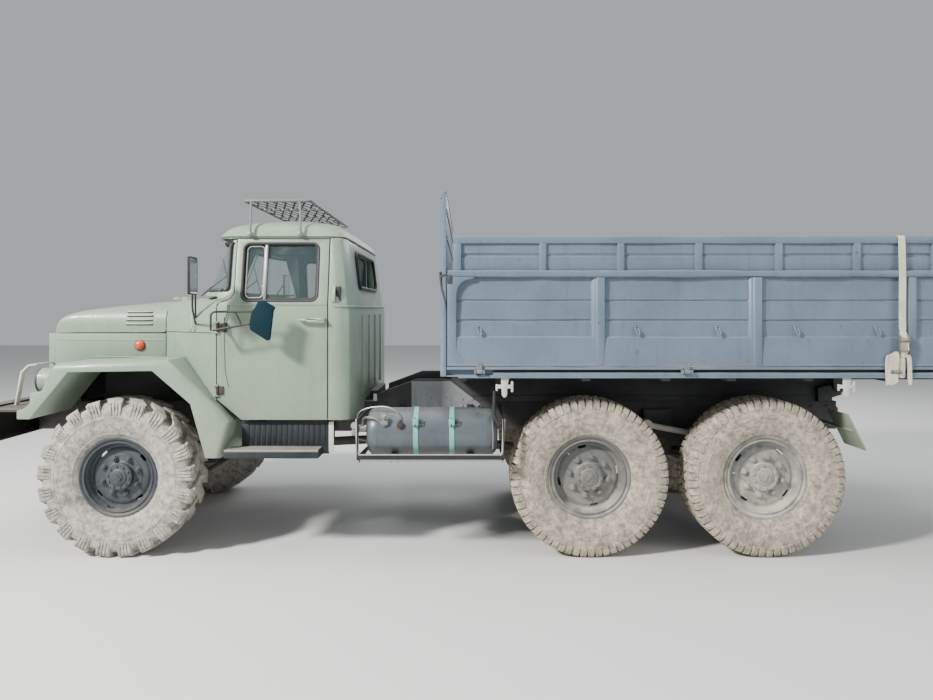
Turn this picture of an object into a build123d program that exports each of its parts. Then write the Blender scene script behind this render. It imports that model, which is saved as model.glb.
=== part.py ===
"""A six-wheel-drive bonneted army cargo truck with a tipping drop-side bed, in millimetres.

X is measured rearwards from the front axle while the pieces are made, Y from the centre line with
the left side negative, and Z from the ground. save() moves each piece so that the frame's origin is
on the ground below the middle of the truck's length.
"""

from build123d import *
import math
import os

os.makedirs("parts", exist_ok=True)

# Overall sizes
front_overhang = 1000
hook_reach = 100
wheelbase = 3350
bogie_spread = 1250
rear_overhang = 1990
track = 1820
bed_width = 2480

# Running gear
tyre_radius = 560
tyre_width = 320
rim_radius = 254
rim_width = 230
rim_wall = 8
spindle_radius = 40
hub_radius = 92
axle_tube_radius = 68
kingpin_radius = 18
kingpin_offset = 200
steering_arm = 250

# Chassis
rail_spread = 865
rail_bottom = 810
rail_top = 1030
rail_wall = 8
rail_flange = 75
subframe_top = 1200
rail_rear = 5400

# Cab
cab_half_width = 1050
cab_roof_half_width = 955
cab_bottom = 970
belt_height = 1790
gutter_height = 2268
roof_height = 2470
door_front = 716
door_front_upper = 836
door_rear = 1493
cab_rear = 1675
cab_rear_upper = 1600
panel_thickness = 50
hood_front = -660
hood_rear = 193
hood_half_width = 640
hood_seam = 1575
hood_skin = 12

# Bed
bed_front = 2300
floor_height = 1360
floor_thickness = 18
board_top = 2020
extension_top = 2252
headboard_top = 2560
board_thickness = 40
tip_pivot_x = 5380
tip_pivot_z = 1150

# Clearances
pin_gap = 0.3
seat_gap = 0.4
panel_gap = 7
moving_gap = 6

# Worked out from the sizes above
middle_x = wheelbase
rear_x = wheelbase + bogie_spread
bed_rear = rear_x + rear_overhang
origin_x = (bed_rear - front_overhang - hook_reach) / 2
wheel_y = track / 2
kingpin_y = wheel_y - kingpin_offset
rail_y = rail_spread / 2
bed_half = bed_width / 2


def box(x0, x1, y0, y1, z0, z1):
    """A block between two corners."""
    return Pos((x0 + x1) / 2, (y0 + y1) / 2, (z0 + z1) / 2) * Box(x1 - x0, y1 - y0, z1 - z0)


def rod(start, end, radius):
    """A round bar from one point to another."""
    along = Vector(*end) - Vector(*start)
    plane = Plane(origin=start, z_dir=along)
    return plane * Cylinder(radius, along.length, align=(Align.CENTER, Align.CENTER, Align.MIN))


def side_plate(points, y0, y1):
    """A plate whose outline is in X and Z, between two values of Y."""
    face = make_face(Polyline(*points, close=True))
    return extrude(Plane(origin=(0, y1, 0), x_dir=(1, 0, 0), z_dir=(0, -1, 0)) * face, y1 - y0)


def cross_plate(points, x0, x1):
    """A plate whose outline is in Y and Z, between two values of X."""
    face = make_face(Polyline(*points, close=True))
    return extrude(Plane(origin=(x0, 0, 0), x_dir=(0, 1, 0), z_dir=(1, 0, 0)) * face, x1 - x0)


def plan_plate(points, z0, z1):
    """A plate whose outline is in X and Y, between two heights."""
    face = make_face(Polyline(*points, close=True))
    return extrude(Pos(0, 0, z0) * face, z1 - z0)


def turned(points, x, y, z):
    """A ring or disc about a line along Y, from (radius, place along Y) points."""
    face = make_face(Polyline(*points, close=True))
    return Pos(x, y, z) * revolve(face, Axis.Y)


def tube_path(points, radius):
    """Round bars along a path, joined by slightly larger balls at its corners."""
    shape = rod(points[0], points[1], radius)
    for start, end in zip(points[1:-1], points[2:]):
        shape += Pos(*start) * Sphere(radius * 1.05)
        shape += rod(start, end, radius)
    return shape


def other_side(shape):
    """The same piece on the truck's other side."""
    return mirror(shape, about=Plane.XZ)


def both_sides(shape):
    """The left piece and its right copy."""
    return [shape, other_side(shape)]


def save(name, *pieces):
    """Writes one node, from its solids."""
    solids = []
    for piece in pieces:
        solids += (Pos(-origin_x, 0, 0) * piece).solids()
    shape = solids[0] if len(solids) == 1 else Compound(children=solids)
    export_step(shape, f"parts/{name}.step")


# Wheels: the tyre's and rim's outlines are (radius, place outwards from the wheel's middle)
half_tyre = tyre_width / 2
half_rim = rim_width / 2
bead = half_rim - 10
tyre_outline = [
    (rim_radius + seat_gap, -bead),
    (rim_radius + 28, -bead),
    (rim_radius + 60, -bead - 24),
    (tyre_radius - 140, -half_tyre + 2),
    (tyre_radius - 60, -half_tyre),
    (tyre_radius - 12, -half_tyre + 22),
    (tyre_radius, -half_tyre + 50),
    (tyre_radius, half_tyre - 50),
    (tyre_radius - 12, half_tyre - 22),
    (tyre_radius - 60, half_tyre),
    (tyre_radius - 140, half_tyre - 2),
    (rim_radius + 60, bead + 24),
    (rim_radius + 28, bead),
    (rim_radius + seat_gap, bead),
]
disc_face = 10
disc_wall = 12
dish_radius = 200
hub_inner = -40
hub_outer = 118
drum_radius = 206
drum_inner = -92
rim_outline = [
    (rim_radius, -bead),
    (rim_radius + 26, -bead - seat_gap),
    (rim_radius + 26, -half_rim + 2),
    (rim_radius - rim_wall, -half_rim + 2),
    (rim_radius - rim_wall, disc_face - disc_wall),
    (dish_radius, disc_face + 28),
    (hub_radius, disc_face + 28),
    (hub_radius, -18),
    (drum_radius, -18),
    (drum_radius, drum_inner),
    (drum_radius - 12, drum_inner),
    (drum_radius - 12, -30),
    (hub_radius, -30),
    (hub_radius, hub_inner),
    (spindle_radius + pin_gap, hub_inner),
    (spindle_radius + pin_gap, hub_outer - 20),
    (0, hub_outer - 20),
    (0, hub_outer),
    (hub_radius - 10, hub_outer),
    (hub_radius - 4, disc_face + 28 + disc_wall),
    (dish_radius, disc_face + 28 + disc_wall),
    (rim_radius - rim_wall, disc_face + disc_wall),
    (rim_radius - rim_wall, half_rim - 2),
    (rim_radius + 26, half_rim - 2),
    (rim_radius + 26, bead + seat_gap),
    (rim_radius, bead),
]

# Each wheel: name, place along X, and side (-1 is left)
wheel_columns = [
    ("front_left", 0, -1),
    ("front_right", 0, 1),
    ("middle_left", middle_x, -1),
    ("middle_right", middle_x, 1),
    ("rear_left", rear_x, -1),
    ("rear_right", rear_x, 1),
]
hand_hole_radius = 18
hand_hole_pitch = rim_radius - 31
for place, x, side in wheel_columns:
    tyre = turned(tyre_outline, x, wheel_y, tyre_radius)
    rim = turned(rim_outline, x, wheel_y, tyre_radius)
    for step in range(6):
        angle = math.radians(60 * step + 30)
        hole_x = x + hand_hole_pitch * math.cos(angle)
        hole_z = tyre_radius + hand_hole_pitch * math.sin(angle)
        rim -= rod((hole_x, wheel_y - 40, hole_z), (hole_x, wheel_y + 80, hole_z), hand_hole_radius)
    if side < 0:
        tyre, rim = other_side(tyre), other_side(rim)
    save(f"tyre_{place}", tyre)
    save(f"rim_{place}", rim)

# Spindles reach from each axle or knuckle into its hub
spindle_end = wheel_y + hub_outer - 20 - moving_gap
backing_plate = wheel_y + drum_inner - 20

# Rear axles: a tube with its spindles, brake plates and a round final-drive housing
diff_radius = 185
diff_half_width = 120
rear_axle_parts = []
for x in (middle_x, rear_x):
    axle = rod((x, -backing_plate, tyre_radius), (x, backing_plate, tyre_radius), axle_tube_radius)
    axle += rod((x, -spindle_end, tyre_radius), (x, spindle_end, tyre_radius), spindle_radius)
    axle += rod((x, -diff_half_width, tyre_radius), (x, diff_half_width, tyre_radius), diff_radius)
    axle += rod((x - diff_radius - 45, 0, tyre_radius), (x + diff_radius + 45, 0, tyre_radius), 85)
    for side in (-1, 1):
        plate_y = side * backing_plate
        axle += rod((x, plate_y, tyre_radius), (x, plate_y - side * 10, tyre_radius), drum_radius - 6)
    rear_axle_parts.append(axle)
save("rear_axles", *rear_axle_parts)

# Front axle: the tube ends in balls that carry the kingpins, top and bottom
ball_radius = 95
socket_radius = 101
socket_outer = 120
kingpin_reach = 152
front_diff_y = 150
axle = rod((0, -kingpin_y, tyre_radius), (0, kingpin_y, tyre_radius), axle_tube_radius)
axle += rod((0, front_diff_y - 100, tyre_radius), (0, front_diff_y + 100, tyre_radius), 165)
axle += rod((0, front_diff_y, tyre_radius), (230, front_diff_y, tyre_radius), 80)
for side in (-1, 1):
    axle += Pos(0, side * kingpin_y, tyre_radius) * Sphere(ball_radius)
    low = (0, side * kingpin_y, tyre_radius - kingpin_reach)
    high = (0, side * kingpin_y, tyre_radius + kingpin_reach)
    axle += rod(low, high, kingpin_radius)
save("front_axle", axle)

# Steering knuckles: a half shell round the ball, kingpin bosses, a brake plate and the spindle
arm_height = tyre_radius - 130
arm_thickness = 24
tie_pin_radius = 12
knuckle = Pos(0, kingpin_y, tyre_radius) * Sphere(socket_outer)
knuckle &= box(-200, 200, kingpin_y + 15, kingpin_y + 200, tyre_radius - 200, tyre_radius + 200)
knuckle += rod((0, backing_plate - 10, tyre_radius), (0, backing_plate, tyre_radius), drum_radius - 6)
knuckle += rod((0, kingpin_y + 90, tyre_radius), (0, backing_plate + 62, tyre_radius), 60)
knuckle += rod((0, kingpin_y + 90, tyre_radius), (0, spindle_end, tyre_radius), spindle_radius)
boss_low = kingpin_reach - 50
for end in (-1, 1):
    low = (0, kingpin_y, tyre_radius + end * boss_low)
    high = (0, kingpin_y, tyre_radius + end * (kingpin_reach - 2))
    knuckle += rod(low, high, 40)
arm_points = [
    (-30, kingpin_y + 30),
    (-30, kingpin_y - 30),
    (steering_arm - 20, kingpin_y - 24),
    (steering_arm + 22, kingpin_y - 24),
    (steering_arm + 22, kingpin_y + 24),
    (60, kingpin_y + 30),
]
knuckle += plan_plate(arm_points, arm_height - arm_thickness / 2, arm_height + arm_thickness / 2)
knuckle -= Pos(0, kingpin_y, tyre_radius) * Sphere(socket_radius)
pin_low = tyre_radius - kingpin_reach - 10
pin_high = tyre_radius + kingpin_reach + 10
knuckle -= rod((0, kingpin_y, pin_low), (0, kingpin_y, pin_high), kingpin_radius + pin_gap)
tie_height = arm_height - 60
tie_pin_low = (steering_arm, kingpin_y, tie_height - 18)
knuckle += rod(tie_pin_low, (steering_arm, kingpin_y, arm_height), tie_pin_radius)
save("knuckle_right", knuckle)
save("knuckle_left", other_side(knuckle))

# Tie rod: an eye at each end turns on the pin of a steering arm
tie_rod = rod((steering_arm, -kingpin_y, tie_height), (steering_arm, kingpin_y, tie_height), 17)
for side in (-1, 1):
    low = (steering_arm, side * kingpin_y, tie_height - 16)
    high = (steering_arm, side * kingpin_y, tie_height + 16)
    tie_rod += rod(low, high, 28)
for side in (-1, 1):
    low = (steering_arm, side * kingpin_y, tie_height - 30)
    high = (steering_arm, side * kingpin_y, tie_height + 30)
    tie_rod -= rod(low, high, tie_pin_radius + pin_gap)
save("tie_rod", tie_rod)

# Frame rails: channels that open inwards, and the cross-members between their webs
rail_front = -front_overhang + 100
rail_inner = rail_y - rail_wall
rail = box(rail_front, rail_rear, -rail_y, -rail_y + rail_flange, rail_bottom, rail_top)
rail -= box(rail_front - 1, rail_rear + 1, -rail_inner, 0, rail_bottom + rail_wall, rail_top - rail_wall)
save("frame_rails", *both_sides(rail))

member_columns = [(rail_front, 90), (1150, 80), (1850, 80), (2650, 80), (3975, 160), (rail_rear - 90, 90)]
member_low = rail_bottom + rail_wall + seat_gap
member_high = rail_top - rail_wall - seat_gap
members = []
for x, length in member_columns:
    member = box(x, x + length, -rail_inner + seat_gap, rail_inner - seat_gap, member_low, member_high)
    member -= box(x + 8, x + length - 8, -rail_inner - 1, rail_inner + 1, member_low + 8, member_high + 1)
    members.append(member)
hoist_foot_x = 5050
hoist_foot_z = 850
foot_pin = 25
web_reach = rail_inner - seat_gap
foot_start = (hoist_foot_x, -web_reach, hoist_foot_z)
foot_end = (hoist_foot_x, web_reach, hoist_foot_z)
members.append(rod(foot_start, foot_end, foot_pin))
save("frame_crossmembers", *members)

# Subframe: two long bearers on the rails with wedge-shaped fronts, tied by cross-tubes
subframe_front = 1780
subframe_slope = 300
subframe_rear = tip_pivot_x - 12
bearer_half = rail_flange
bearer_points = [
    (subframe_front, rail_top + seat_gap),
    (subframe_rear, rail_top + seat_gap),
    (subframe_rear, subframe_top),
    (subframe_front + subframe_slope, subframe_top),
    (subframe_front, rail_top + 60),
]
bearer = side_plate(bearer_points, -rail_y, -rail_y + bearer_half)
tube_height = (rail_top + subframe_top) / 2
for x in (2700, 3700, 5150):
    bearer += rod((x, -rail_y + 20, tube_height), (x, 0, tube_height), 36)
ear_gap = 30
ear_width = 26
pivot_ear = side_plate(
    [
        (tip_pivot_x - 150, subframe_top - 60),
        (tip_pivot_x - 150, rail_top + seat_gap),
        (tip_pivot_x + 34, rail_top + seat_gap + 56),
        (tip_pivot_x + 34, tip_pivot_z + 30),
    ],
    -rail_y - ear_gap - ear_width,
    -rail_y + 1,
)
subframe = bearer + pivot_ear
subframe += other_side(subframe)
pivot_pin_radius = 20
pivot_pin_y = rail_y + ear_gap + ear_width + 60
for side in (-1, 1):
    start = (tip_pivot_x, side * (rail_y - 10), tip_pivot_z)
    subframe += rod(start, (tip_pivot_x, side * pivot_pin_y, tip_pivot_z), pivot_pin_radius)
save("subframe", subframe)

# Front bumper: a channel with a deck back to the nose and two bent flat guards before the lamps
bumper_front = -front_overhang
bumper_depth = 95
bumper_bottom = 800
bumper_top = 1062
bumper_half = 1090
deck_rear = -670
bumper_back = bumper_front + bumper_depth
bumper = box(bumper_front, bumper_back, -bumper_half, bumper_half, bumper_bottom, bumper_top)
bumper_inside = (bumper_bottom + 8, bumper_top - 8)
bumper -= box(bumper_front + 8, bumper_back + 1, -bumper_half - 1, bumper_half + 1, *bumper_inside)
deck_low = rail_top + seat_gap
deck = box(bumper_front + 4, deck_rear, -bumper_half + 20, bumper_half - 20, deck_low, deck_low + 18)
bumper += deck
guard_thickness = 12
guard_width = 46
guard_y = 820
guard_points = [
    (-845, deck_low + 10),
    (-845 + guard_thickness, deck_low + 10),
    (-799 + guard_thickness, 1288),
    (-741, 1334),
    (-660, 1346),
    (-660, 1358),
    (-746, 1347),
    (-799, 1294),
]
for side in (-1, 1):
    middle = side * guard_y
    bumper += side_plate(guard_points, middle - guard_width / 2, middle + guard_width / 2)
    arm_ends = sorted((side * (hood_half_width + seat_gap), middle))
    bumper += box(-690, -660, *arm_ends, 1346, 1358)
save("front_bumper", bumper)

# Towing fittings: two closed hooks on the rail fronts and a clevis on the rear cross-member
hook_y = rail_y - 36
hook_z = 920
hook_thickness = 34
hook_hole = 27
hook_wall = 20
hook_x = bumper_front - hook_reach + hook_hole + hook_wall
fittings = []
for side in (-1, 1):
    low, high = side * hook_y - hook_thickness / 2, side * hook_y + hook_thickness / 2
    hook = rod((hook_x, low, hook_z), (hook_x, high, hook_z), hook_hole + hook_wall)
    hook += box(hook_x, bumper_front - seat_gap, low, high, hook_z - 34, hook_z + 34)
    hook -= rod((hook_x, low - 5, hook_z), (hook_x, high + 5, hook_z), hook_hole)
    fittings.append(hook)
clevis_x = rail_rear + 150
clevis_z = 920
clevis_pin_radius = 24
clevis = box(rail_rear + seat_gap, rail_rear + 22, -110, 110, clevis_z - 80, clevis_z + 80)
for height in (-48, 22):
    arm = box(rail_rear + 10, clevis_x, -45, 45, clevis_z + height, clevis_z + height + 26)
    arm += rod((clevis_x, 0, clevis_z + height), (clevis_x, 0, clevis_z + height + 26), 45)
    clevis += arm
clevis -= rod((clevis_x, 0, clevis_z - 90), (clevis_x, 0, clevis_z + 90), clevis_pin_radius)
fittings.append(clevis)
save("tow_fittings", *fittings)

# Leaf springs: front packs above the axle under the rails, rear packs over the bogie's axles
leaf_width = 70
spring_middle = rail_y - rail_flange / 2
seat_height = tyre_radius + axle_tube_radius + seat_gap
front_spring = side_plate(
    [
        (-690, rail_bottom - seat_gap),
        (-690, rail_bottom - 50),
        (-90, seat_height),
        (90, seat_height),
        (640, rail_bottom - 50),
        (640, rail_bottom - seat_gap),
        (560, rail_bottom - seat_gap),
        (80, seat_height + 90),
        (-80, seat_height + 90),
        (-610, rail_bottom - seat_gap),
    ],
    -spring_middle - leaf_width / 2,
    -spring_middle + leaf_width / 2,
)
bogie_x = (middle_x + rear_x) / 2
bogie_spring_y = rail_y + 90
leaf_drop = tyre_radius + axle_tube_radius + seat_gap
bogie_spring = side_plate(
    [
        (middle_x - 60, leaf_drop),
        (middle_x + 60, leaf_drop),
        (bogie_x - 120, 700),
        (bogie_x + 120, 700),
        (rear_x - 60, leaf_drop),
        (rear_x + 60, leaf_drop),
        (rear_x + 60, leaf_drop + 36),
        (bogie_x + 150, 840),
        (bogie_x - 150, 840),
        (middle_x - 60, leaf_drop + 36),
    ],
    -bogie_spring_y - 45,
    -bogie_spring_y + 45,
)
hanger = box(bogie_x - 110, bogie_x + 110, -bogie_spring_y + 45, -rail_y - seat_gap, 620, rail_bottom + 160)
bogie_spring += hanger
bogie_spring += rod((bogie_x, -bogie_spring_y - 70, 700), (bogie_x, -bogie_spring_y + 50, 700), 70)
save("leaf_springs", *both_sides(front_spring), *both_sides(bogie_spring))

# Drive line: engine block, radiator, gearbox and transfer case, then the propeller shafts
engine = box(-440, 430, -300, 300, 830, 1480)
for side in (-1, 1):
    engine += box(-60, 60, min(side * 290, side * web_reach), max(side * 290, side * web_reach), 900, 960)
engine += box(430, 1050, -190, 190, 700, 1018)
radiator = box(-650, -570, -rail_y + 4, rail_y - 4, rail_top + seat_gap, 1540)
transfer = box(1960, 2350, -260, 260, 600, 960)
transfer += box(2080, 2160, -web_reach, web_reach, 880, 940)
shaft_radius = 38
shaft_gap = 0.5
flange_reach = diff_radius + 45 + shaft_gap
shaft_ends = [
    ((1050 + shaft_gap, 0, 760), (1960 - shaft_gap, 0, 760)),
    ((2350 + shaft_gap, 0, 655), (middle_x - flange_reach, 0, tyre_radius)),
    ((middle_x + flange_reach, 0, tyre_radius), (rear_x - flange_reach, 0, tyre_radius)),
    ((1960 - shaft_gap, front_diff_y, 640), (230 + shaft_gap, front_diff_y, tyre_radius)),
]
shafts = []
for start, end in shaft_ends:
    shaft = rod(start, end, shaft_radius)
    keep = box(min(start[0], end[0]), max(start[0], end[0]), -400, 400, 300, 1000)
    shafts.append(shaft & keep)
save("drive_line", engine, radiator, transfer, *shafts)

# Exhaust: a silencer beside the right rail, with its pipe turned out ahead of the tank
silencer_y = rail_y + 130
exhaust = rod((950, silencer_y, 900), (1500, silencer_y, 900), 92)
exhaust += tube_path([(1490, silencer_y, 900), (1690, silencer_y, 900), (1690, silencer_y + 180, 860)], 32)
for x in (1030, 1330):
    exhaust += box(x, x + 40, rail_y + seat_gap, silencer_y, 880, 920)
save("exhaust", exhaust)

# Front fenders: a band over each wheel, hollow behind its outer lip
fender_inner = 600
fender_outer = 1140
fender_skin = 16
fender_nose = [(-645, 1050), (-600, 1062), (-556, 1100), (-552, 1172), (-474, 1181)]
fender_nose += [(-425, 1300), (-378, 1378)]
fender_top = fender_nose + [(399, 1405), (514, 1290), (742, 1078), (833, 972), (770, 718)]
arch = [(664, 718), (558, 1096), (293, 1325), (-290, 1316), (-555, 990), (-645, 990)]
fender_band = make_face(Polyline(*(fender_top + arch), close=True))
fender = side_plate(fender_top + arch, -fender_outer, -fender_inner)
pocket = offset(fender_band, amount=-fender_skin)
pocket_plane = Plane(origin=(0, -fender_inner - fender_skin, 0), x_dir=(1, 0, 0), z_dir=(0, -1, 0))
fender -= extrude(pocket_plane * pocket, fender_outer - fender_inner - 2 * fender_skin)
save("front_fenders", *both_sides(fender))
fender_block = side_plate(fender_top + arch, -fender_outer - 100, fender_outer + 100)

# Hood: its side view and its cross-section, outer and inner
hood_side = [(-656, hood_seam + 4), (-645, 1640), (-600, 1700), (-520, 1740), (-400, 1768), (-60, 1812)]
hood_side += [(hood_rear - panel_gap, 1836), (hood_rear - panel_gap, hood_seam + 4)]
hood_half = [(-hood_half_width, hood_seam - 10), (-hood_half_width, 1690), (-600, 1760), (-500, 1806)]
hood_half += [(-300, 1830)]
hood_cross = hood_half + [(-y, z) for y, z in reversed(hood_half)]
hood_back = hood_rear - panel_gap
hood_outer = side_plate(hood_side, -hood_half_width, hood_half_width)
hood_outer &= cross_plate(hood_cross, -660, hood_back)
hood_core = side_plate([(x, z - hood_skin) for x, z in hood_side], -hood_half_width, hood_half_width)
core_scale = 1 - hood_skin / hood_half_width
core_cross = [(y * core_scale, z - hood_skin) for y, z in hood_cross]
hood_core &= cross_plate(core_cross, -700, hood_back + 1)
hood = hood_outer - Pos(hood_skin, 0, 0) * hood_core
hood -= box(-640, hood_back + 20, -620, 620, hood_seam - 20, hood_seam + 20)
hood_axis_x = hood_rear + 8
hood_axis_z = 1847
hinge_y = 290
for side in (-1, 1):
    y0, y1 = side * hinge_y - 20, side * hinge_y + 20
    hood += box(hood_back - 66, hood_back, y0, y1, 1815, hood_axis_z + 2)
    hood += box(hood_back - 1, hood_axis_x - 4, y0, y1, 1838, hood_axis_z + 2)
    hood += rod((hood_axis_x, y0, hood_axis_z), (hood_axis_x, y1, hood_axis_z), 10)
    hood -= rod((hood_axis_x, y0 - 9, hood_axis_z), (hood_axis_x, y1 + 9, hood_axis_z), 5 + pin_gap)
save("hood", hood)

# Panels under the hood's edge, and the slotted nose before the radiator
side_panel = side_plate(
    [
        (-650, hood_seam - 4),
        (hood_back, hood_seam - 4),
        (hood_back, 1398.4),
        *reversed(fender_nose),
        (-650, 1054),
    ],
    -hood_half_width,
    -hood_half_width + hood_skin,
)
side_panel -= Pos(-seat_gap, 0, seat_gap) * fender_block
save("hood_sides", *both_sides(side_panel))
nose_front = -702
nose_back = -650 - seat_gap
nose_low = deck_low + 18 + seat_gap
nose_inner = hood_half_width - 12
nose = box(nose_front, nose_back, -hood_half_width, hood_half_width, nose_low, hood_seam - 4)
nose -= box(nose_front + 12, -640, -nose_inner, nose_inner, deck_low + 40, hood_seam - 20)
slot_count = 15
slot_pitch = 58
for step in range(slot_count):
    y = (step - (slot_count - 1) / 2) * slot_pitch
    nose -= box(nose_front - 5, nose_front + 20, y - 19, y + 19, 1130, 1520)
save("grille", nose)

# Lamps: headlamps on the fender noses, round markers on the side panels, rear lamps on the frame
headlamp_y = 850
headlamp = rod((-645, -headlamp_y, 1235), (-400, -headlamp_y, 1235), 92) - fender_block
headlamp = min(headlamp.solids(), key=lambda solid: solid.center().X)
marker = rod((-10, -hood_half_width - 32, 1480), (-10, -hood_half_width - seat_gap, 1480), 42)
rear_lamp = box(rail_rear + seat_gap, rail_rear + 60, -360, -230, 860, 980)
save("lamps", *both_sides(headlamp), *both_sides(marker), *both_sides(rear_lamp))

# Cowl: from the hood's rear section out to the cab's width, with the bulkhead and toe board
cowl_rear = door_front - panel_gap
cowl_top = 1846
cowl_skin = 22
front_half = [(-hood_half_width, 1050)] + hood_half[1:]
rear_half = [(-cab_half_width, 1050), (-cab_half_width, 1760), (-1030, 1815), (-960, cowl_top)]
rear_half += [(-500, cowl_top)]


def closed(half):
    """A section made whole from its left half."""
    return half + [(-y, z) for y, z in reversed(half)]


def section(points, x):
    """A face across the truck at one value of X."""
    plane = Plane(origin=(x, 0, 0), x_dir=(0, 1, 0), z_dir=(1, 0, 0))
    return plane * make_face(Polyline(*points, close=True))


def inset(half, amount):
    """A half section moved inwards at its side and down at its top."""
    return [(y + amount, z - amount if z > 1100 else z - 50) for y, z in half]


block_front = section(closed(front_half), hood_rear)
block_rear = section(closed(rear_half), cowl_rear)
cowl_block = loft([block_front, block_rear], ruled=True)
core_front = section(closed(inset(front_half, cowl_skin)), hood_rear - 1)
core_rear = section(closed(inset(rear_half, cowl_skin)), cowl_rear + 1)
cowl = cowl_block - loft([core_front, core_rear], ruled=True)
toe_board = side_plate(
    [(625, 1812), (660, 1812), (660, 1221), (806, 1087), (806, 1047), (786, 1047), (625, 1197)],
    -930,
    930,
)
cowl += toe_board
below_fender = side_plate(
    [
        (100, 900),
        (100, 1396),
        (399, 1405 + seat_gap),
        (514 + seat_gap, 1290 + seat_gap),
        (742, 1078.6),
        (833, 972),
        (833, 900),
    ],
    -1200,
    1200,
)
cowl -= below_fender
for side in (-1, 1):
    for y in (side * hinge_y - 30, side * hinge_y + 24):
        cowl += box(hood_rear + 1, hood_rear + 44, y, y + 6, 1815, hood_axis_z + 8)
    start = (hood_axis_x, side * hinge_y - 28, hood_axis_z)
    cowl += rod(start, (hood_axis_x, side * hinge_y + 28, hood_axis_z), 5)
# Door hinges: pins held by ears on the cowl, outside the panels
door_axis_x = door_front + 6
door_axis_y = cab_half_width + 8
door_hinges = [1181, 1626]
hinge_ear = 7.5
hinge_half = 30
for z in door_hinges:
    pin_reach = hinge_half + 12
    hinge = rod((door_axis_x, -door_axis_y, z - pin_reach), (door_axis_x, -door_axis_y, z + pin_reach), 5)
    for low in (z - hinge_half - 11, z + hinge_half + 1):
        hinge += rod((door_axis_x, -door_axis_y, low), (door_axis_x, -door_axis_y, low + 10), hinge_ear)
        hinge += box(cowl_rear - 1, door_axis_x, -door_axis_y - 7, -door_axis_y + 7, low, low + 10)
        hinge += box(cowl_rear - 20, cowl_rear, -door_axis_y - 7, -cab_half_width + 22, low, low + 10)
    cowl += hinge
    cowl += other_side(hinge)
save("cowl", cowl)

# Cab: plan outlines of the screen's surround, and side profiles shared by doors and walls
slope_rate = (cab_half_width - cab_roof_half_width) / (gutter_height - belt_height)
sill_left = [(874, -1050), (700, -1034), (588, -965), (522, -800), (498, -500)]
header_left = [(874, -955), (812, -945), (742, -890), (700, -740), (684, -480)]
wall_thickness = 44
glass_depth = 18
glass_thickness = 8
pillar_rear = door_front_upper - panel_gap
screen_low = 1884
screen_high = 2236
door_low = 974
door_high = gutter_height - 4


def mirrored_plan(left):
    """A plan outline made whole from its left half."""
    return left + [(x, -y) for x, y in reversed(left)]


def plan_shell(low_left, high_left, z0, z1, depth):
    """A leaning closed shape between two plan outlines, drawn in by a depth."""
    faces = []
    for left, z in ((low_left, z0), (high_left, z1)):
        face = make_face(Polyline(*mirrored_plan(left), close=True))
        if depth:
            face = offset(face, amount=-depth, kind=Kind.INTERSECTION)
        faces.append(Pos(0, 0, z) * face)
    return loft(faces, ruled=True)


def rounded_opening(x0, x1, z0, z1, radius):
    """A block across the truck with rounded corners in its side view."""
    plane = Plane(origin=((x0 + x1) / 2, 1300, (z0 + z1) / 2), x_dir=(1, 0, 0), z_dir=(0, -1, 0))
    return extrude(plane * RectangleRounded(x1 - x0, z1 - z0, radius), 2600)


# The door's outline, with its front edge stepped round the screen's corner
door_outline = [
    (door_front, 1118),
    (888, door_low),
    (door_rear, door_low),
    (door_rear, door_high),
    (door_front_upper, door_high),
    (door_front_upper, 1872),
    (818, 1836),
    (782, 1812),
    (740, 1800),
    (door_front, 1776),
]
door_face = make_face(Polyline(*door_outline, close=True))
door_plane = Plane(origin=(0, 1300, 0), x_dir=(1, 0, 0), z_dir=(0, -1, 0))
door_space = extrude(door_plane * offset(door_face, amount=panel_gap, kind=Kind.INTERSECTION), 2600)
door_block = extrude(door_plane * door_face, 2600)

frame_block = plan_shell(sill_left, header_left, belt_height, gutter_height, 0)
surround = frame_block - plan_shell(sill_left, header_left, belt_height, gutter_height, wall_thickness)
surround &= box(300, pillar_rear, -1100, 1100, belt_height - 1, gutter_height + 1)
divider = surround & box(300, 760, -11, 11, belt_height, gutter_height)
surround -= box(300, 800, -1100, 1100, screen_low, screen_high)
surround += divider
surround -= box(300, cowl_rear + seat_gap, -1100, 1100, belt_height - 10, cowl_top + seat_gap)
surround -= door_space
save("windshield_frame", surround)

# Glass: two curved front panes in the surround, and the rear window
panes = plan_shell(sill_left, header_left, belt_height, gutter_height, glass_depth)
panes -= plan_shell(sill_left, header_left, belt_height, gutter_height, glass_depth + glass_thickness)
panes &= box(300, 800 - seat_gap, -1100, 1100, screen_low + seat_gap, screen_high - seat_gap)
panes -= box(300, 900, -11 - seat_gap, 11 + seat_gap, belt_height, gutter_height)
rear_window_half = 520
rear_window_low = 1930
rear_window_high = 2190

# Back wall: a lower and an upper band of the cab's rear with rounded corners
corner_front = door_rear + panel_gap
wall_low_left = [(corner_front, -1050), (1590, -1050), (1648, -1020), (cab_rear, -950)]
wall_belt_left = [(corner_front, -1050), (1572, -1050), (1630, -1020), (1655, -950)]
wall_top_left = [(corner_front, -955), (1520, -955), (1575, -930), (cab_rear_upper, -860)]
# How far each point of a wall's plan moves, as shares of its thickness, to reach its inner face
inner_shift = [(-1.2, 1.0), (-0.4, 1.0), (-0.75, 0.75), (-1.0, 0.4)]


def inner_wall(left):
    """The inner plan of a wall outline, open at its front."""
    shifted = zip(left, inner_shift)
    return [(x + panel_thickness * dx, y + panel_thickness * dy) for (x, y), (dx, dy) in shifted]


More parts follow.
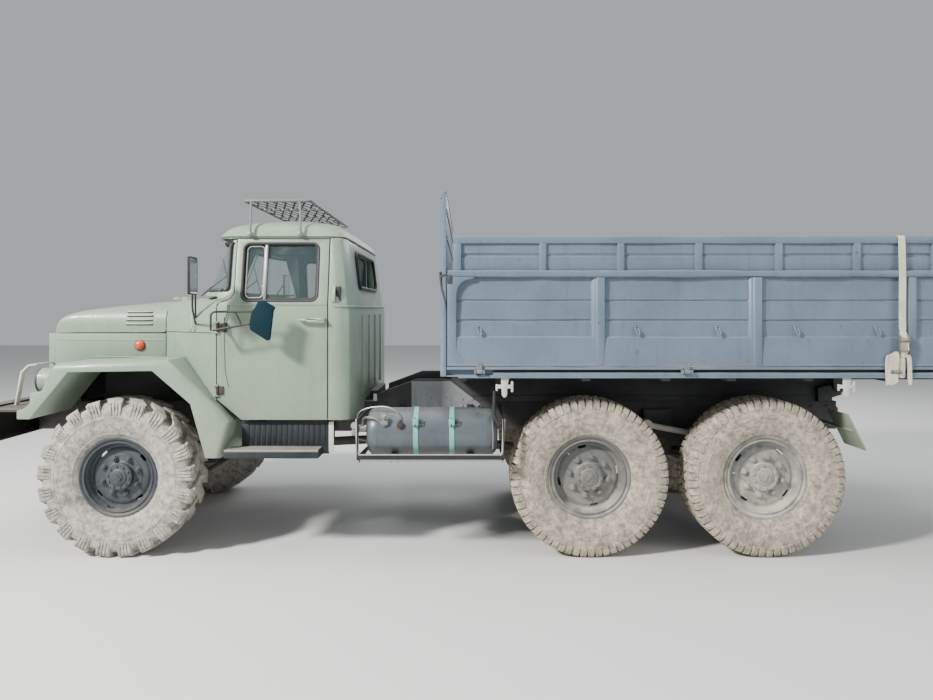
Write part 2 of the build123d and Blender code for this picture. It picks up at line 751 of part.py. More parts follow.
wall_bands = [(wall_low_left, wall_low_left, cab_bottom, belt_height - 40)]
wall_bands += [(wall_low_left, wall_belt_left, belt_height - 40, belt_height)]
wall_bands += [(wall_belt_left, wall_top_left, belt_height, gutter_height)]
back_wall = None
for low, high, z0, z1 in wall_bands:
    band = plan_shell(low, high, z0, z1, 0) - plan_shell(inner_wall(low), inner_wall(high), z0, z1, 0)
    back_wall = band if back_wall is None else back_wall + band
back_wall -= box(1400, 1700, -rail_y - 12, rail_y + 12, cab_bottom - 10, rail_top + 8)
back_wall -= box(1450, 1700, -rear_window_half, rear_window_half, rear_window_low, rear_window_high)
save("cab_back_wall", back_wall)
pane_half = rear_window_half - seat_gap
rear_pane = box(1575, 1583, -pane_half, pane_half, rear_window_low + seat_gap, rear_window_high - seat_gap)
save("cab_glass", panes, rear_pane)

# Doors: the cab side's profile, cut to the door's outline, with a window and its pane
side_profile = [
    (-cab_half_width, door_low),
    (-cab_half_width, belt_height),
    (-cab_half_width + slope_rate * (door_high - belt_height), door_high),
]
inner_profile = [(y + panel_thickness, z) for y, z in reversed(side_profile)]
door = cross_plate(side_profile + inner_profile, 700, 1520) & door_block
window_low = 1815
window_high = 2225
window_front = 887
window_rear = 1420
door -= rounded_opening(window_front, window_rear, window_low, window_high, 45)
handle_x = 1306
handle_z = 1679
handle_y = -cab_half_width - 34
for x in (handle_x, handle_x + 147):
    door += box(x, x + 22, handle_y, -cab_half_width + 5, handle_z - 9, handle_z + 9)
door += rod((handle_x, handle_y, handle_z), (handle_x + 169, handle_y, handle_z), 11)
for z in door_hinges:
    low, high = z - hinge_half, z + hinge_half
    door += rod((door_axis_x, -door_axis_y, low), (door_axis_x, -door_axis_y, high), 9)
    door += box(door_axis_x, door_axis_x + 38, -door_axis_y + 2, -cab_half_width + 1, low, high)
    door -= rod((door_axis_x, -door_axis_y, z - 40), (door_axis_x, -door_axis_y, z + 40), 5 + pin_gap)
save("door_left", door)
save("door_right", other_side(door))
pane_profile = [(y + glass_depth, z) for y, z in side_profile]
pane_profile += [(y + glass_depth + 6, z) for y, z in reversed(side_profile)]
pane = cross_plate(pane_profile, 700, 1520)
pane_along = (window_front + seat_gap, window_rear - seat_gap)
pane &= rounded_opening(*pane_along, window_low + seat_gap, window_high - seat_gap, 45)
save("door_glass_left", pane)
save("door_glass_right", other_side(pane))

# Roof: a domed shell whose edge overhangs as the gutter
roof_front = 626
roof_rear = 1622
roof_half = cab_roof_half_width + 22
roof_columns = [(gutter_height + seat_gap, 0), (gutter_height + 34, 0), (2405, 74), (roof_height, 330)]


def roof_section(z, inward):
    """A chamfered plan outline, drawn in from the gutter."""
    left = [
        (roof_rear - inward, -roof_half + inward + 120),
        (roof_rear - 110 - inward * 0.9, -roof_half + inward),
        (roof_front + 150 + inward * 0.9, -roof_half + inward),
        (roof_front + inward, -roof_half + inward + 190),
    ]
    return Pos(0, 0, z) * make_face(Polyline(*mirrored_plan(left), close=True))


roof = loft([roof_section(z, inward) for z, inward in roof_columns], ruled=True)
roof_wall = 34
roof -= loft([roof_section(z - roof_wall, inward + roof_wall) for z, inward in roof_columns], ruled=True)
save("cab_roof", roof)

# Floor: a tray over the rails with side sills, pads on the rails and the seat boxes
floor_front = 806 + seat_gap
floor_low = 1047
floor_high = 1087
floor_half = cab_half_width - panel_thickness - 14
floor_rear = 1560
seat_base_top = 1330
cab_floor = box(floor_front, floor_rear, -floor_half, floor_half, floor_low, floor_high)
for side in (-1, 1):
    y0, y1 = sorted((side * (floor_half - 40), side * floor_half))
    cab_floor += box(880, floor_rear, y0, y1, door_low, floor_low + 1)
    for x in (900, 1440):
        y0, y1 = sorted((side * (rail_y - 4), side * (rail_y - rail_flange + 4)))
        cab_floor += box(x, x + 80, y0, y1, rail_top + seat_gap, floor_low + 1)
# Seat boxes: driver's on the left, a two-person one on the right, as (from, to) across the truck
seat_spans = [(-900, -400), (-300, 900)]
seat_front = 1090
seat_rear = 1540
for y0, y1 in seat_spans:
    cab_floor += box(seat_front + 30, seat_rear, y0 + 20, y1 - 20, floor_high - 1, seat_base_top)
save("cab_floor", cab_floor)

# Seats: a cushion and a raked back for each seat box
cushion_height = 120
back_height = 470
seats = []
for y0, y1 in seat_spans:
    low, high = seat_base_top + seat_gap, seat_base_top + back_height
    cushion = box(seat_front, seat_rear - 90, y0, y1, low, seat_base_top + cushion_height)
    seats.append(fillet(cushion.edges().filter_by(Axis.Y), 30))
    rake = [(seat_rear - 80, low), (seat_rear + 10, low), (seat_rear + 22, high), (seat_rear - 50, high)]
    seats.append(side_plate(rake, y0, y1))
save("seats", *seats)

# Dashboard across the bulkhead, with the steering column and wheel before the driver
dash_front = 660 + seat_gap
dash = side_plate(
    [(dash_front, 1805), (dash_front, 1560), (735, 1560), (800, 1640), (800, 1740), (760, 1800)],
    -920,
    920,
)
save("dashboard", dash)
steering_y = -480
steering_wheel_centre = (1055, steering_y, 1690)
column_foot = (898, steering_y, floor_high + seat_gap)
wheel_axis = Vector(*steering_wheel_centre) - Vector(*column_foot)
wheel_plane = Plane(origin=steering_wheel_centre, z_dir=wheel_axis)
steering = wheel_plane * Torus(215, 14)
for step in range(3):
    angle = math.radians(90 + 120 * step)
    reach = Vector(215 * math.cos(angle), 215 * math.sin(angle), 0)
    spoke_end = wheel_plane.from_local_coords(reach)
    steering += rod(steering_wheel_centre, tuple(spoke_end), 9)
steering += wheel_plane * Cylinder(38, 46)
column = rod((column_foot[0], steering_y, floor_high - 40), steering_wheel_centre, 22)
steering += column & box(700, 1100, steering_y - 50, steering_y + 50, column_foot[2], 1700)
save("steering_wheel", steering)

# Running boards: a stepped tread under each door, its arms from the rail and the plate behind it
tread_low = 723
tread_high = 769
tread = box(800, 1453, -1165, -1000, tread_low, tread_high)
for x in (850, 1400):
    tread += box(x, x + 40, -1001, -rail_y - seat_gap, tread_low + 8, tread_high - 8)
    tread += box(x, x + 40, -rail_y - 28, -rail_y - seat_gap, tread_low + 8, rail_top - 30)
tread += box(880, 1500, -1012, -1000, tread_low + 4, 955)
tread += box(1486, 1500, -1012, -960, tread_low + 8, 955)
save("running_boards", *both_sides(tread))

# Roof rack: a flat shelf in a tube rim on four legs that stand on the gutters
rack_front = 850
rack_rear = 1334
rack_half = 850
rack_height = 2549
rack_tube = 11
leg_radius = 9
rack = box(rack_front + 4, rack_rear - 4, -rack_half + 4, rack_half - 4, rack_height - 3, rack_height + 3)
for x in (rack_front, rack_rear):
    rack += rod((x, -rack_half, rack_height), (x, rack_half, rack_height), rack_tube)
for side in (-1, 1):
    y = side * rack_half
    rack += rod((rack_front, y, rack_height), (rack_rear, y, rack_height), rack_tube - 1)
    for x in (rack_front, rack_rear):
        rack += Pos(x, y, rack_height) * Sphere(rack_tube + 1)
gutter_side = roof_half + seat_gap
for side in (-1, 1):
    for x in (898, 1257):
        foot = (x, side * (gutter_side + leg_radius), gutter_height + 12)
        knee = (x, side * (gutter_side + leg_radius), gutter_height + 60)
        rack += tube_path([foot, knee, (x, side * (rack_half - 2), rack_height - 1)], leg_radius)
save("roof_rack", rack)

# Mirrors on the cowl: a tall head on two bent arms from a plate, one on each side
mirror_x = 632
mirror_y = 1290
mirror_z = 1980
mirror_turn = 20
head = Pos(mirror_x, -mirror_y, mirror_z) * Rot(0, 0, mirror_turn) * Box(22, 165, 256)
mirror_plate = box(478, 538, -1000, -820, 1620, 1720) - cowl_block
mirror_plate &= Pos(508, -889, 1670) * Rot(0, 0, -38.5) * Box(90, 24, 110)
mirror_plate = max(mirror_plate.solids(), key=lambda solid: solid.volume)
cowl_mirror = head + mirror_plate
lower_bend = [(508, -900, 1645), (590, -1180, 1760), (mirror_x, -mirror_y, 1880)]
upper_bend = [(508, -900, 1700), (600, -1150, 1950), (mirror_x, -mirror_y, 2040)]
cowl_mirror += tube_path(lower_bend, 8) - cowl_block
cowl_mirror += tube_path(upper_bend, 8) - cowl_block
save("cowl_mirrors", *both_sides(cowl_mirror))

# The door's folded mirror on a frame of bent tube, on the left door only
folded_y = -1195
mirror_shape = [
    (1053, 1812),
    (1094, 1814),
    (1172, 1768),
    (1159, 1743),
    (1136, 1545),
    (1113, 1539),
    (999, 1613),
    (992, 1651),
    (1008, 1736),
    (1033, 1770),
]
door_mirror = side_plate(mirror_shape, folded_y - 28, folded_y - 3)
door_mirror += box(768, 788, -cab_half_width - 34, -cab_half_width - seat_gap, 1590, 1662)
lower_arm = [(778, -cab_half_width - 20, 1620), (722, folded_y, 1606), (1035, folded_y - 8, 1664)]
upper_arm = [(722, folded_y, 1606), (722, folded_y, 1736), (1040, folded_y, 1740)]
door_mirror += tube_path(lower_arm, 8)
door_mirror += tube_path(upper_arm, 7.2)
door_mirror += rod((890, folded_y, 1738), (935, folded_y - 4, 1646), 5.6)
save("door_mirror", door_mirror)

# Tanks: a gas cylinder on the left, a fuel tank on the right, each on a cradle from the rail
tank_front = 1772
tank_rear = 2700
tank_radius = 170
tank_y = 1000
tank_z = 886
gas_tank = rod((tank_front, -tank_y, tank_z), (tank_rear, -tank_y, tank_z), tank_radius)
gas_tank = fillet(gas_tank.edges().filter_by(GeomType.CIRCLE), 60)
cradle_top = tank_z - tank_radius - seat_gap
fuel_low = cradle_top + seat_gap
fuel_tank = box(tank_front + 40, tank_rear - 80, tank_y - 180, tank_y + 160, fuel_low, tank_z + 160)
fuel_tank = fillet(fuel_tank.edges().filter_by(Axis.X), 55)
save("tanks", gas_tank, fuel_tank)
cradle_x = [tank_front - 52, tank_front + 180, tank_rear - 220, tank_rear + 40]
cradle = box(cradle_x[0], cradle_x[3], -1182, -1150, cradle_top - 34, cradle_top)
for x in cradle_x[1:3]:
    cradle += box(x, x + 50, -1160, -rail_y - seat_gap, cradle_top - 34, cradle_top)
    cradle += box(x, x + 50, -rail_y - 26, -rail_y - seat_gap, cradle_top - 34, rail_top - 24)
for x in (cradle_x[0], cradle_x[3] - 12):
    cradle += box(x, x + 12, -1182, -1150, cradle_top - 1, 1000)
    cradle += box(x, x + 12, -1160, -rail_y - 40, cradle_top - 34, cradle_top - 10)
    cradle += box(x, x + 12, -1160, -rail_y - seat_gap, 985, 1000)
save("tank_cradles", *both_sides(cradle))

# Mud flaps: a leaning plate behind each rear wheel, on a rod from the rail
flap_x = rear_x + 565
flap_outline = [(flap_x, 1010), (flap_x + 7, 1014), (flap_x + 135, 760), (flap_x + 128, 756)]
flap = side_plate(flap_outline, -1060, -760)
flap += rod((flap_x + 65, -rail_y - seat_gap, 890), (flap_x + 65, -1000, 890), 12)
save("mud_flaps", *both_sides(flap))

# Bed floor: the flat deck
deck_front = bed_front + 40 + seat_gap
deck_end = bed_rear - 45
deck_under = floor_height - floor_thickness
sill_bottom = 1295
channel_web = bed_half - 50
deck = box(deck_front, deck_end - seat_gap, -bed_half + 5, bed_half - 5, deck_under, floor_height)
save("bed_floor", deck)

# Bed sills: a channel under each edge of the deck, with its hinge ears and rear post
board_hinges = [2566, 3978, 5390, 6330]
board_axis_y = bed_half + 12
board_axis_z = 1330
hinge_pin = 7
post_half = 60
sill = box(deck_front, deck_end, -channel_web - 12, -channel_web, sill_bottom, deck_under - seat_gap)
sill += box(deck_front, deck_end, -bed_half + 5, -channel_web, sill_bottom, sill_bottom + 8)
for x in board_hinges:
    for end in (x - 36, x + 26):
        ear_reach = (-board_axis_y - 10, -channel_web - 6)
        sill += box(end, end + 10, *ear_reach, board_axis_z - 14, board_axis_z + 11.6)
    pin_ends = [(x + reach, -board_axis_y, board_axis_z) for reach in (-30, 30)]
    sill += rod(*pin_ends, hinge_pin)
gate_axis_z = 2230
gate_pin = 12
gate_x = bed_rear - 22
gate_half = bed_half - post_half - 8
post = box(deck_end, bed_rear, -bed_half, -bed_half + post_half, sill_bottom, extension_top + 30)
gate_hole = [(gate_x, y, gate_axis_z) for y in (-bed_half - 1, -bed_half + post_half + 1)]
sill += post - rod(*gate_hole, gate_pin + pin_gap)
save("bed_sills", *both_sides(sill))

# Bed frame: two long members over the subframe, cross-members, and the tipping ears
long_top = 1260
bed_member_front = bed_front + 60
long_low = subframe_top + seat_gap
bed_frame = box(bed_member_front, deck_end - 60, -rail_y, -rail_y + 80, long_low, long_top + 1)
bed_frame += other_side(bed_frame)
cross_columns = [2420, 2720, 3270, 3820, 4270, 4800, 5350, 5880, 6410]
for x in cross_columns:
    cross_half = channel_web - seat_gap
    bed_frame += box(x, x + 60, -cross_half, cross_half, long_top, deck_under - seat_gap)
ear_outline = [
    (tip_pivot_x - 60, long_top + 4),
    (tip_pivot_x - 44, tip_pivot_z - 10),
    (tip_pivot_x - 22, tip_pivot_z - 38),
    (tip_pivot_x + 22, tip_pivot_z - 38),
    (tip_pivot_x + 44, tip_pivot_z - 10),
    (tip_pivot_x + 60, long_top + 4),
]
bed_ear_y = rail_y + ear_gap + ear_width + moving_gap
for x in (tip_pivot_x, 2750):
    shift = Pos(x - tip_pivot_x, 0, 0)
    ear = side_plate(ear_outline, -bed_ear_y - 36, -bed_ear_y)
    ear_hole = pivot_pin_radius + pin_gap
    ear -= rod((tip_pivot_x, -700, tip_pivot_z), (tip_pivot_x, -300, tip_pivot_z), ear_hole)
    bed_frame += shift * ear
    bed_frame += shift * other_side(ear)
hoist_top_x = 4300
hoist_top_z = 1185
lug_gap = 50
for side in (-1, 1):
    y0, y1 = sorted((side * lug_gap, side * (lug_gap + 16)))
    lug = box(hoist_top_x - 40, hoist_top_x + 28, y0, y1, hoist_top_z - 34, long_top + 1)
    lug -= rod((hoist_top_x, y0 - 1, hoist_top_z), (hoist_top_x, y1 + 1, hoist_top_z), 20)
    bed_frame += lug
save("bed_frame", bed_frame)

# Headboard: the tall front wall of the bed, framed on its front
headboard = box(bed_front + 12, bed_front + 40, -bed_half, bed_half, sill_bottom, headboard_top)
for y in (-1200, -800, -400, 0, 400, 800, 1200):
    headboard += box(bed_front, bed_front + 13, y - 30, y + 30, sill_bottom, headboard_top)
for z in (sill_bottom, headboard_top - 50):
    headboard += box(bed_front, bed_front + 13, -bed_half, bed_half, z, z + 50)
save("headboard", headboard)

# Side boards: the main board with its posts, the extension above and the hinge loops below
board_front = bed_front + 40 + moving_gap
board_rear = deck_end - moving_gap
board_low = floor_height + moving_gap
board_inner = bed_half - board_thickness
extension_front = 2390
post_columns = [3388, 4460, 5510]
extension_pitch = 588
board = box(board_front, board_rear, -bed_half + 8, -board_inner, board_low, board_top)
rail_line = (-bed_half + 22, board_top - 22)
board += rod((board_front, *rail_line), (board_rear, *rail_line), 22)
for x in post_columns:
    board += box(x - 38, x + 38, -bed_half, -bed_half + 10, board_low, board_top)
board += box(extension_front, board_rear, -bed_half + 16, -board_inner - 6, board_top - 10, extension_top)
for step in range(7):
    x = 2426 + step * extension_pitch
    board += box(x - 26, x + 26, -bed_half + 6, -bed_half + 18, board_top, extension_top)
board += box(extension_front, board_rear, -bed_half + 6, -board_inner, extension_top - 40, extension_top)
loop_radius = 14
for x in board_hinges:
    loop = rod((x - 20, -board_axis_y, board_axis_z), (x + 20, -board_axis_y, board_axis_z), loop_radius)
    loop += box(x - 20, x + 20, -bed_half - 8, -bed_half + 1, board_axis_z, board_low + 60)
    loop += box(x - 20, x + 20, -bed_half - 8, -bed_half + 10, board_low + 1, board_low + 60)
    board += loop
    loop_hole = hinge_pin + pin_gap
    board -= rod((x - 21, -board_axis_y, board_axis_z), (x + 21, -board_axis_y, board_axis_z), loop_hole)
save("side_board_left", board)
save("side_board_right", other_side(board))

# The strap drawn tight over the left board, with its ratchet
strap_x = 5436
strap_width = 50
strap_low = 1420
strap_y = -bed_half - 8.5
strap = box(strap_x - 25, strap_x + 25, strap_y, strap_y + 5, strap_low, extension_top + 6)
strap_over = (extension_top + seat_gap, extension_top + 6)
strap += box(strap_x - 25, strap_x + 25, strap_y, -board_inner + 9, *strap_over)
strap += box(strap_x - 25, strap_x + 25, -board_inner + 4.5, -board_inner + 9, 1900, extension_top + 6)
ratchet = (strap_low + 20, strap_low + 190)
strap += box(strap_x - 34, strap_x + 34, strap_y - 40, strap_y + 1, *ratchet)
save("tie_strap", strap)

# Tailgate: hung on two pins near its top, between the rear posts
gate_inner = deck_end + 5
gate_low = floor_height - 44
gate = box(gate_inner, gate_inner + 34, -gate_half, gate_half, gate_low, extension_top)
gate_recess = (gate_low + 60, board_top - 40)
gate -= box(gate_inner + 12, gate_inner + 50, -gate_half + 60, gate_half - 60, *gate_recess)
for step in range(3):
    y = (step - 1) * 580
    gate += box(gate_inner + 10, gate_inner + 34, y - 30, y + 30, gate_low + 30, board_top - 20)
gate += rod((gate_x, -bed_half + 10, gate_axis_z), (gate_x, bed_half - 10, gate_axis_z), gate_pin)
save("tailgate", gate)

# Hoist: a ram from a cross-bar behind the rear axle to lugs under the bed
ram_radius = 68
rod_radius = 40
hoist_foot = (hoist_foot_x, 0, hoist_foot_z)
hoist_top = (hoist_top_x, 0, hoist_top_z)
hoist_line = Vector(*hoist_top) - Vector(*hoist_foot)
hoist_plane = Plane(origin=hoist_foot, x_dir=(0, 1, 0), z_dir=hoist_line)
ram_end = 640
from_foot = (Align.CENTER, Align.CENTER, Align.MIN)
ram = hoist_plane * Pos(0, 0, 30) * Cylinder(ram_radius, ram_end - 30, align=from_foot)
ram += rod((hoist_foot_x, -60, hoist_foot_z), (hoist_foot_x, 60, hoist_foot_z), 56)
ram -= rod((hoist_foot_x, -70, hoist_foot_z), (hoist_foot_x, 70, hoist_foot_z), foot_pin + pin_gap)
ram_bore = Cylinder(rod_radius + pin_gap, ram_end, align=from_foot)
ram -= hoist_plane * Pos(0, 0, 90) * ram_bore
save("hoist_cylinder", ram)
rod_start = 110
rod_length = hoist_line.length - rod_start
ram_rod = hoist_plane * Pos(0, 0, rod_start) * Cylinder(rod_radius, rod_length, align=from_foot)
ram_rod += rod((hoist_top_x, -44, hoist_top_z), (hoist_top_x, 44, hoist_top_z), 42)
save("hoist_rod", ram_rod)
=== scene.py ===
"""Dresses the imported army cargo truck: detailed pieces, procedural finishes, soft light and a camera.

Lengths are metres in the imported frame: X runs to the truck's rear, Y to its right side and Z up.
"""
import logging
import math
import random
from contextlib import contextmanager
from dataclasses import dataclass, field
from enum import Enum
from typing import Any, Callable, ClassVar, Iterator, Sequence

import bpy
from mathutils import Matrix, Vector, noise


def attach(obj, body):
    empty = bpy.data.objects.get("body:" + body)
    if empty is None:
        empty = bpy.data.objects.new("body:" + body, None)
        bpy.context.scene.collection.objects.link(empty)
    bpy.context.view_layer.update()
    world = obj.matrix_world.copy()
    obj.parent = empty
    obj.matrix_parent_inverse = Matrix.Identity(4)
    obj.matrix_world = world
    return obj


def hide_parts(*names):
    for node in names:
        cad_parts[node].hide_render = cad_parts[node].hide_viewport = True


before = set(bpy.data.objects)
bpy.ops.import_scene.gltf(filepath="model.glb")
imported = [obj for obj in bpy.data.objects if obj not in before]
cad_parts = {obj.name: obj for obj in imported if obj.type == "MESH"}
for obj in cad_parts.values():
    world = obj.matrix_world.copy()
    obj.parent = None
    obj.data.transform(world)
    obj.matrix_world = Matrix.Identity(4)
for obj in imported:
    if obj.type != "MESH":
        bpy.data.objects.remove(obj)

logging.basicConfig(level=logging.INFO, format="%(message)s")
LOG = logging.getLogger("truck")
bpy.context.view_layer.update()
ORIGIN_X = 2.745

Point = tuple[float, float, float]
Pair = tuple[float, float]
Piece = bpy.types.Object
Paint = bpy.types.Material


class Side(Enum):
    """The truck's two sides, by their sign along Y."""

    LEFT = -1
    RIGHT = 1

    @property
    def word(self) -> str:
        """The side's name as node names end."""
        return self.name.lower()


class Channel:
    """A shader socket that Python's operators turn into Math nodes."""

    def __init__(self, tree: bpy.types.NodeTree, socket: bpy.types.NodeSocket) -> None:
        """Wraps an output socket of a node tree."""
        self.tree = tree
        self.socket = socket

    def math(self, operation: str, *others: Any, clamp: bool = False) -> "Channel":
        """Adds one Math node.

        Args:
            operation: The Math node's operation.
            others: The further inputs, numbers or channels, None for this channel's own place.
            clamp: Whether the result is held between 0 and 1.

        Returns:
            The node's result.
        """
        made = self.tree.nodes.new("ShaderNodeMath")
        made.operation = operation
        made.use_clamp = clamp
        inputs = others if None in others else (None, *others)
        for socket, value in zip(made.inputs, inputs):
            plug(self.tree, socket, self if value is None else value)
        return Channel(self.tree, made.outputs[0])

    def __add__(self, other: Any) -> "Channel":
        """This plus other."""
        return self.math("ADD", other)

    def __mul__(self, other: Any) -> "Channel":
        """This times other."""
        return self.math("MULTIPLY", other)

    def __rsub__(self, other: Any) -> "Channel":
        """Other less this."""
        return self.math("SUBTRACT", other, None)

    def held(self) -> "Channel":
        """This held between 0 and 1."""
        return self.math("ADD", 0.0, clamp=True)

    def step(self, low: float, high: float) -> "Channel":
        """A soft step from 0 at low to 1 at high, which may run either way."""
        made = self.tree.nodes.new("ShaderNodeMapRange")
        made.interpolation_type = "SMOOTHSTEP"
        ends = {"From Min": min(low, high), "From Max": max(low, high), "To Min": float(low > high),
            "To Max": float(low <= high)}
        for key, value in ends.items():
            made.inputs[key].default_value = value
        plug(self.tree, made.inputs["Value"], self)
        return Channel(self.tree, made.outputs["Result"])


def plug(tree: bpy.types.NodeTree, socket: bpy.types.NodeSocket, value: Any) -> None:
    """Links a channel to an input, or sets the input's value."""
    if isinstance(value, Channel):
        tree.links.new(value.socket, socket)
    elif socket.type == "RGBA":
        socket.default_value = (*value, 1.0)
    else:
        socket.default_value = value


class Brush:
    """Builds one material's nodes."""

    def __init__(self, name: str) -> None:
        """Starts an empty material with a Principled shader."""
        self.material = bpy.data.materials.new(name)
        self.material.use_nodes = True
        self.tree = self.material.node_tree
        self.shader = self.tree.nodes["Principled BSDF"]
        self.place = self.node("TexCoord", output="Object")

    def node(self, kind: str, inputs: dict[Any, Any] | None = None, output: Any = 0,
            **settings: Any) -> Channel:
        """Adds one node.

        Args:
            kind: The node's type, without its ShaderNode prefix.
            inputs: Values or channels by input name or number.
            output: The name or number of the output that is wanted.
            **settings: Properties set before the sockets.

        Returns:
            That output.
        """
        made = self.tree.nodes.new("ShaderNode" + kind)
        for key, value in settings.items():
            setattr(made, key, value)
        for key, value in (inputs or {}).items():
            plug(self.tree, made.inputs[key], value)
        return Channel(self.tree, made.outputs[output])

    def cloud(self, scale: float, detail: float = 4.0, stretch: Point = (1, 1, 1),
            rough: float = 0.55) -> Channel:
        """A noise between 0 and 1 about 0.5."""
        place = self.node("Mapping", {"Vector": self.place, "Scale": stretch})
        return self.node("TexNoise", {"Vector": place, "Scale": scale, "Detail": detail, "Roughness": rough})

    def specks(self, scale: float, stretch: Point) -> Channel:
        """The distance to the nearest of many scattered points."""
        place = self.node("Mapping", {"Vector": self.place, "Scale": stretch})
        return self.node("TexVoronoi", {"Vector": place, "Scale": scale}, "Distance")

    def along(self, axis: str, source: Channel | None = None) -> Channel:
        """One part of a vector, X, Y or Z, of the object coordinates if no other is given."""
        return self.node("SeparateXYZ", {0: source or self.place}, axis)

    def rising(self) -> Channel:
        """How far the surface faces upwards, from -1 to 1."""
        return self.along("Z", self.node("NewGeometry", output="Normal"))

    def mix(self, share: Channel, first: Any, second: Any) -> Channel:
        """A colour between two colours by a share."""
        return self.node("Mix", {0: share, 6: first, 7: second}, 2, data_type="RGBA")

    def feed(self, height: Channel | None = None, **values: Any) -> Paint:
        """Sets or links the shader's sockets, named with _ for a space.

        Args:
            height: The height that bumps the surface, in metres.
            **values: The sockets' values or channels.

        Returns:
            The material.
        """
        if height:
            values["Normal"] = self.node("Bump", {"Strength": 1.0, "Distance": 1.0, "Height": height},
                "Normal")
        for name, value in values.items():
            plug(self.tree, self.shader.inputs[name.replace("_", " ")], value)
        return self.material


@dataclass(frozen=True)
class Look:
    """A built material and the name of its slot."""

    material: Paint
    slot: str


class Shop:
    """Models pieces with Blender's operators, in metres from the front axle until a piece is dressed."""

    looks: ClassVar[dict[str, Look]] = {}

    @staticmethod
    def clear() -> None:
        """Leaves edit mode and deselects everything."""
        if bpy.context.object and bpy.context.object.mode != "OBJECT":
            bpy.ops.object.mode_set(mode="OBJECT")
        for other in bpy.context.selected_objects:
            other.select_set(False)

    @classmethod
    def take(cls, piece: Piece) -> None:
        """Makes a piece the only selected one."""
        cls.clear()
        piece.select_set(True)
        bpy.context.view_layer.objects.active = piece

    @classmethod
    @contextmanager
    def edit(cls, piece: Piece, wanted: Callable[[Any], bool] | None = None,
            items: str = "vertices") -> Iterator[None]:
        """Holds a piece in edit mode.

        Args:
            piece: The piece.
            wanted: The test that picks what is selected, all of it if there is none.
            items: Whether the test picks vertices or edges.

        Yields:
            Nothing.
        """
        cls.take(piece)
        bpy.ops.object.mode_set(mode="EDIT")
        bpy.ops.mesh.select_all(action="DESELECT" if wanted else "SELECT")
        if wanted:
            bpy.ops.object.mode_set(mode="OBJECT")
            for item in getattr(piece.data, items):
                item.select = wanted(item)
            bpy.ops.object.mode_set(mode="EDIT")
        yield
        bpy.ops.object.mode_set(mode="OBJECT")

    @staticmethod
    def face_out(merge: float = 0.0) -> None:
        """In edit mode, merges points closer than a distance and turns all faces outwards."""
        bpy.ops.mesh.select_all(action="SELECT")
        if merge:
            bpy.ops.mesh.remove_doubles(threshold=merge)
        bpy.ops.mesh.normals_make_consistent(inside=False)

    @classmethod
    def added(cls, name: str) -> Piece:
        """Names the primitive just added and moves its place into its mesh."""
        piece = bpy.context.object
        piece.name = piece.data.name = name
        bpy.ops.object.transform_apply()
        return piece

    @classmethod
    def trace(cls, name: str, points: Sequence[Point], fill: bool = False) -> Piece:
        """Draws a line of edges by extruding a vertex from point to point, filled with a face if asked."""
        cls.clear()
        bpy.ops.mesh.primitive_plane_add(size=0.01, location=points[0])
        piece = cls.added(name)
        with cls.edit(piece):
            bpy.ops.mesh.merge(type="CENTER")
            for start, end in zip(points, points[1:]):
                step = Vector(end) - Vector(start)
                bpy.ops.mesh.extrude_vertices_move(TRANSFORM_OT_translate={"value": step})
            if fill:
                bpy.ops.mesh.select_all(action="SELECT")
                bpy.ops.mesh.edge_face_add()
        return piece

    @classmethod
    def strip(cls, name: str, points: Sequence[Point], width: float) -> Piece:
        """A strip as wide along X as told, along a line of points."""
        piece = cls.trace(name, points)
        with cls.edit(piece):
            bpy.ops.mesh.extrude_edges_move(TRANSFORM_OT_translate={"value": (width, 0, 0)})
        return piece

    @classmethod
    def plate(cls, name: str, points: Sequence[Point], move: Point, bevel: float = 0.0,
            segments: int = 2) -> Piece:
        """A plate from an outline and the move of its other face, with rounded edges."""
        piece = cls.trace(name, points, True)
        with cls.edit(piece):
            bpy.ops.mesh.extrude_region_move(TRANSFORM_OT_translate={"value": move})
            cls.face_out()
        return cls.bevelled(piece, bevel, segments)

    @classmethod
    def block(cls, name: str, low: Point, high: Point, bevel: float = 0.003, segments: int = 2) -> Piece:
        """A block between two corners with rounded edges."""
        cls.clear()
        bpy.ops.mesh.primitive_cube_add(size=1, location=[(a + b) / 2 for a, b in zip(low, high)])
        bpy.context.object.scale = [abs(b - a) for a, b in zip(low, high)]
        return cls.bevelled(cls.added(name), bevel, segments)

    @classmethod
    def slab(cls, name: str, middle: Point, half: Point, bevel: float = 0.003, segments: int = 2) -> Piece:
        """A block about its middle, by half its size."""
        low = tuple(a - b for a, b in zip(middle, half))
        return cls.block(name, low, tuple(a + b for a, b in zip(middle, half)), bevel, segments)

    @classmethod
    def bevelled(cls, piece: Piece, width: float, segments: int = 2, angle: float = 28.0) -> Piece:
        """Rounds a piece's edges that are sharper than an angle."""
        if width > 0:
            cls.apply(piece, "BEVEL", width=width, segments=segments, limit_method="ANGLE",
                angle_limit=math.radians(angle))
        return piece

    @classmethod
    def apply(cls, piece: Piece, kind: str, **settings: Any) -> Piece:
        """Adds a modifier with its settings and applies it."""
        cls.take(piece)
        made = piece.modifiers.new(kind.lower(), kind)
        for key, value in settings.items():
            setattr(made, key, value)
        bpy.ops.object.modifier_apply(modifier=made.name)
        return piece

    @classmethod
    def smooth(cls, piece: Piece, levels: int) -> Piece:
        """Subdivides a piece into a smooth surface."""
        return cls.apply(piece, "SUBSURF", levels=levels, render_levels=levels)

    @classmethod
    def walled(cls, piece: Piece, thickness: float, offset: float = 0.0) -> Piece:
        """Gives a skin its thickness."""
        return cls.apply(piece, "SOLIDIFY", thickness=thickness, offset=offset)

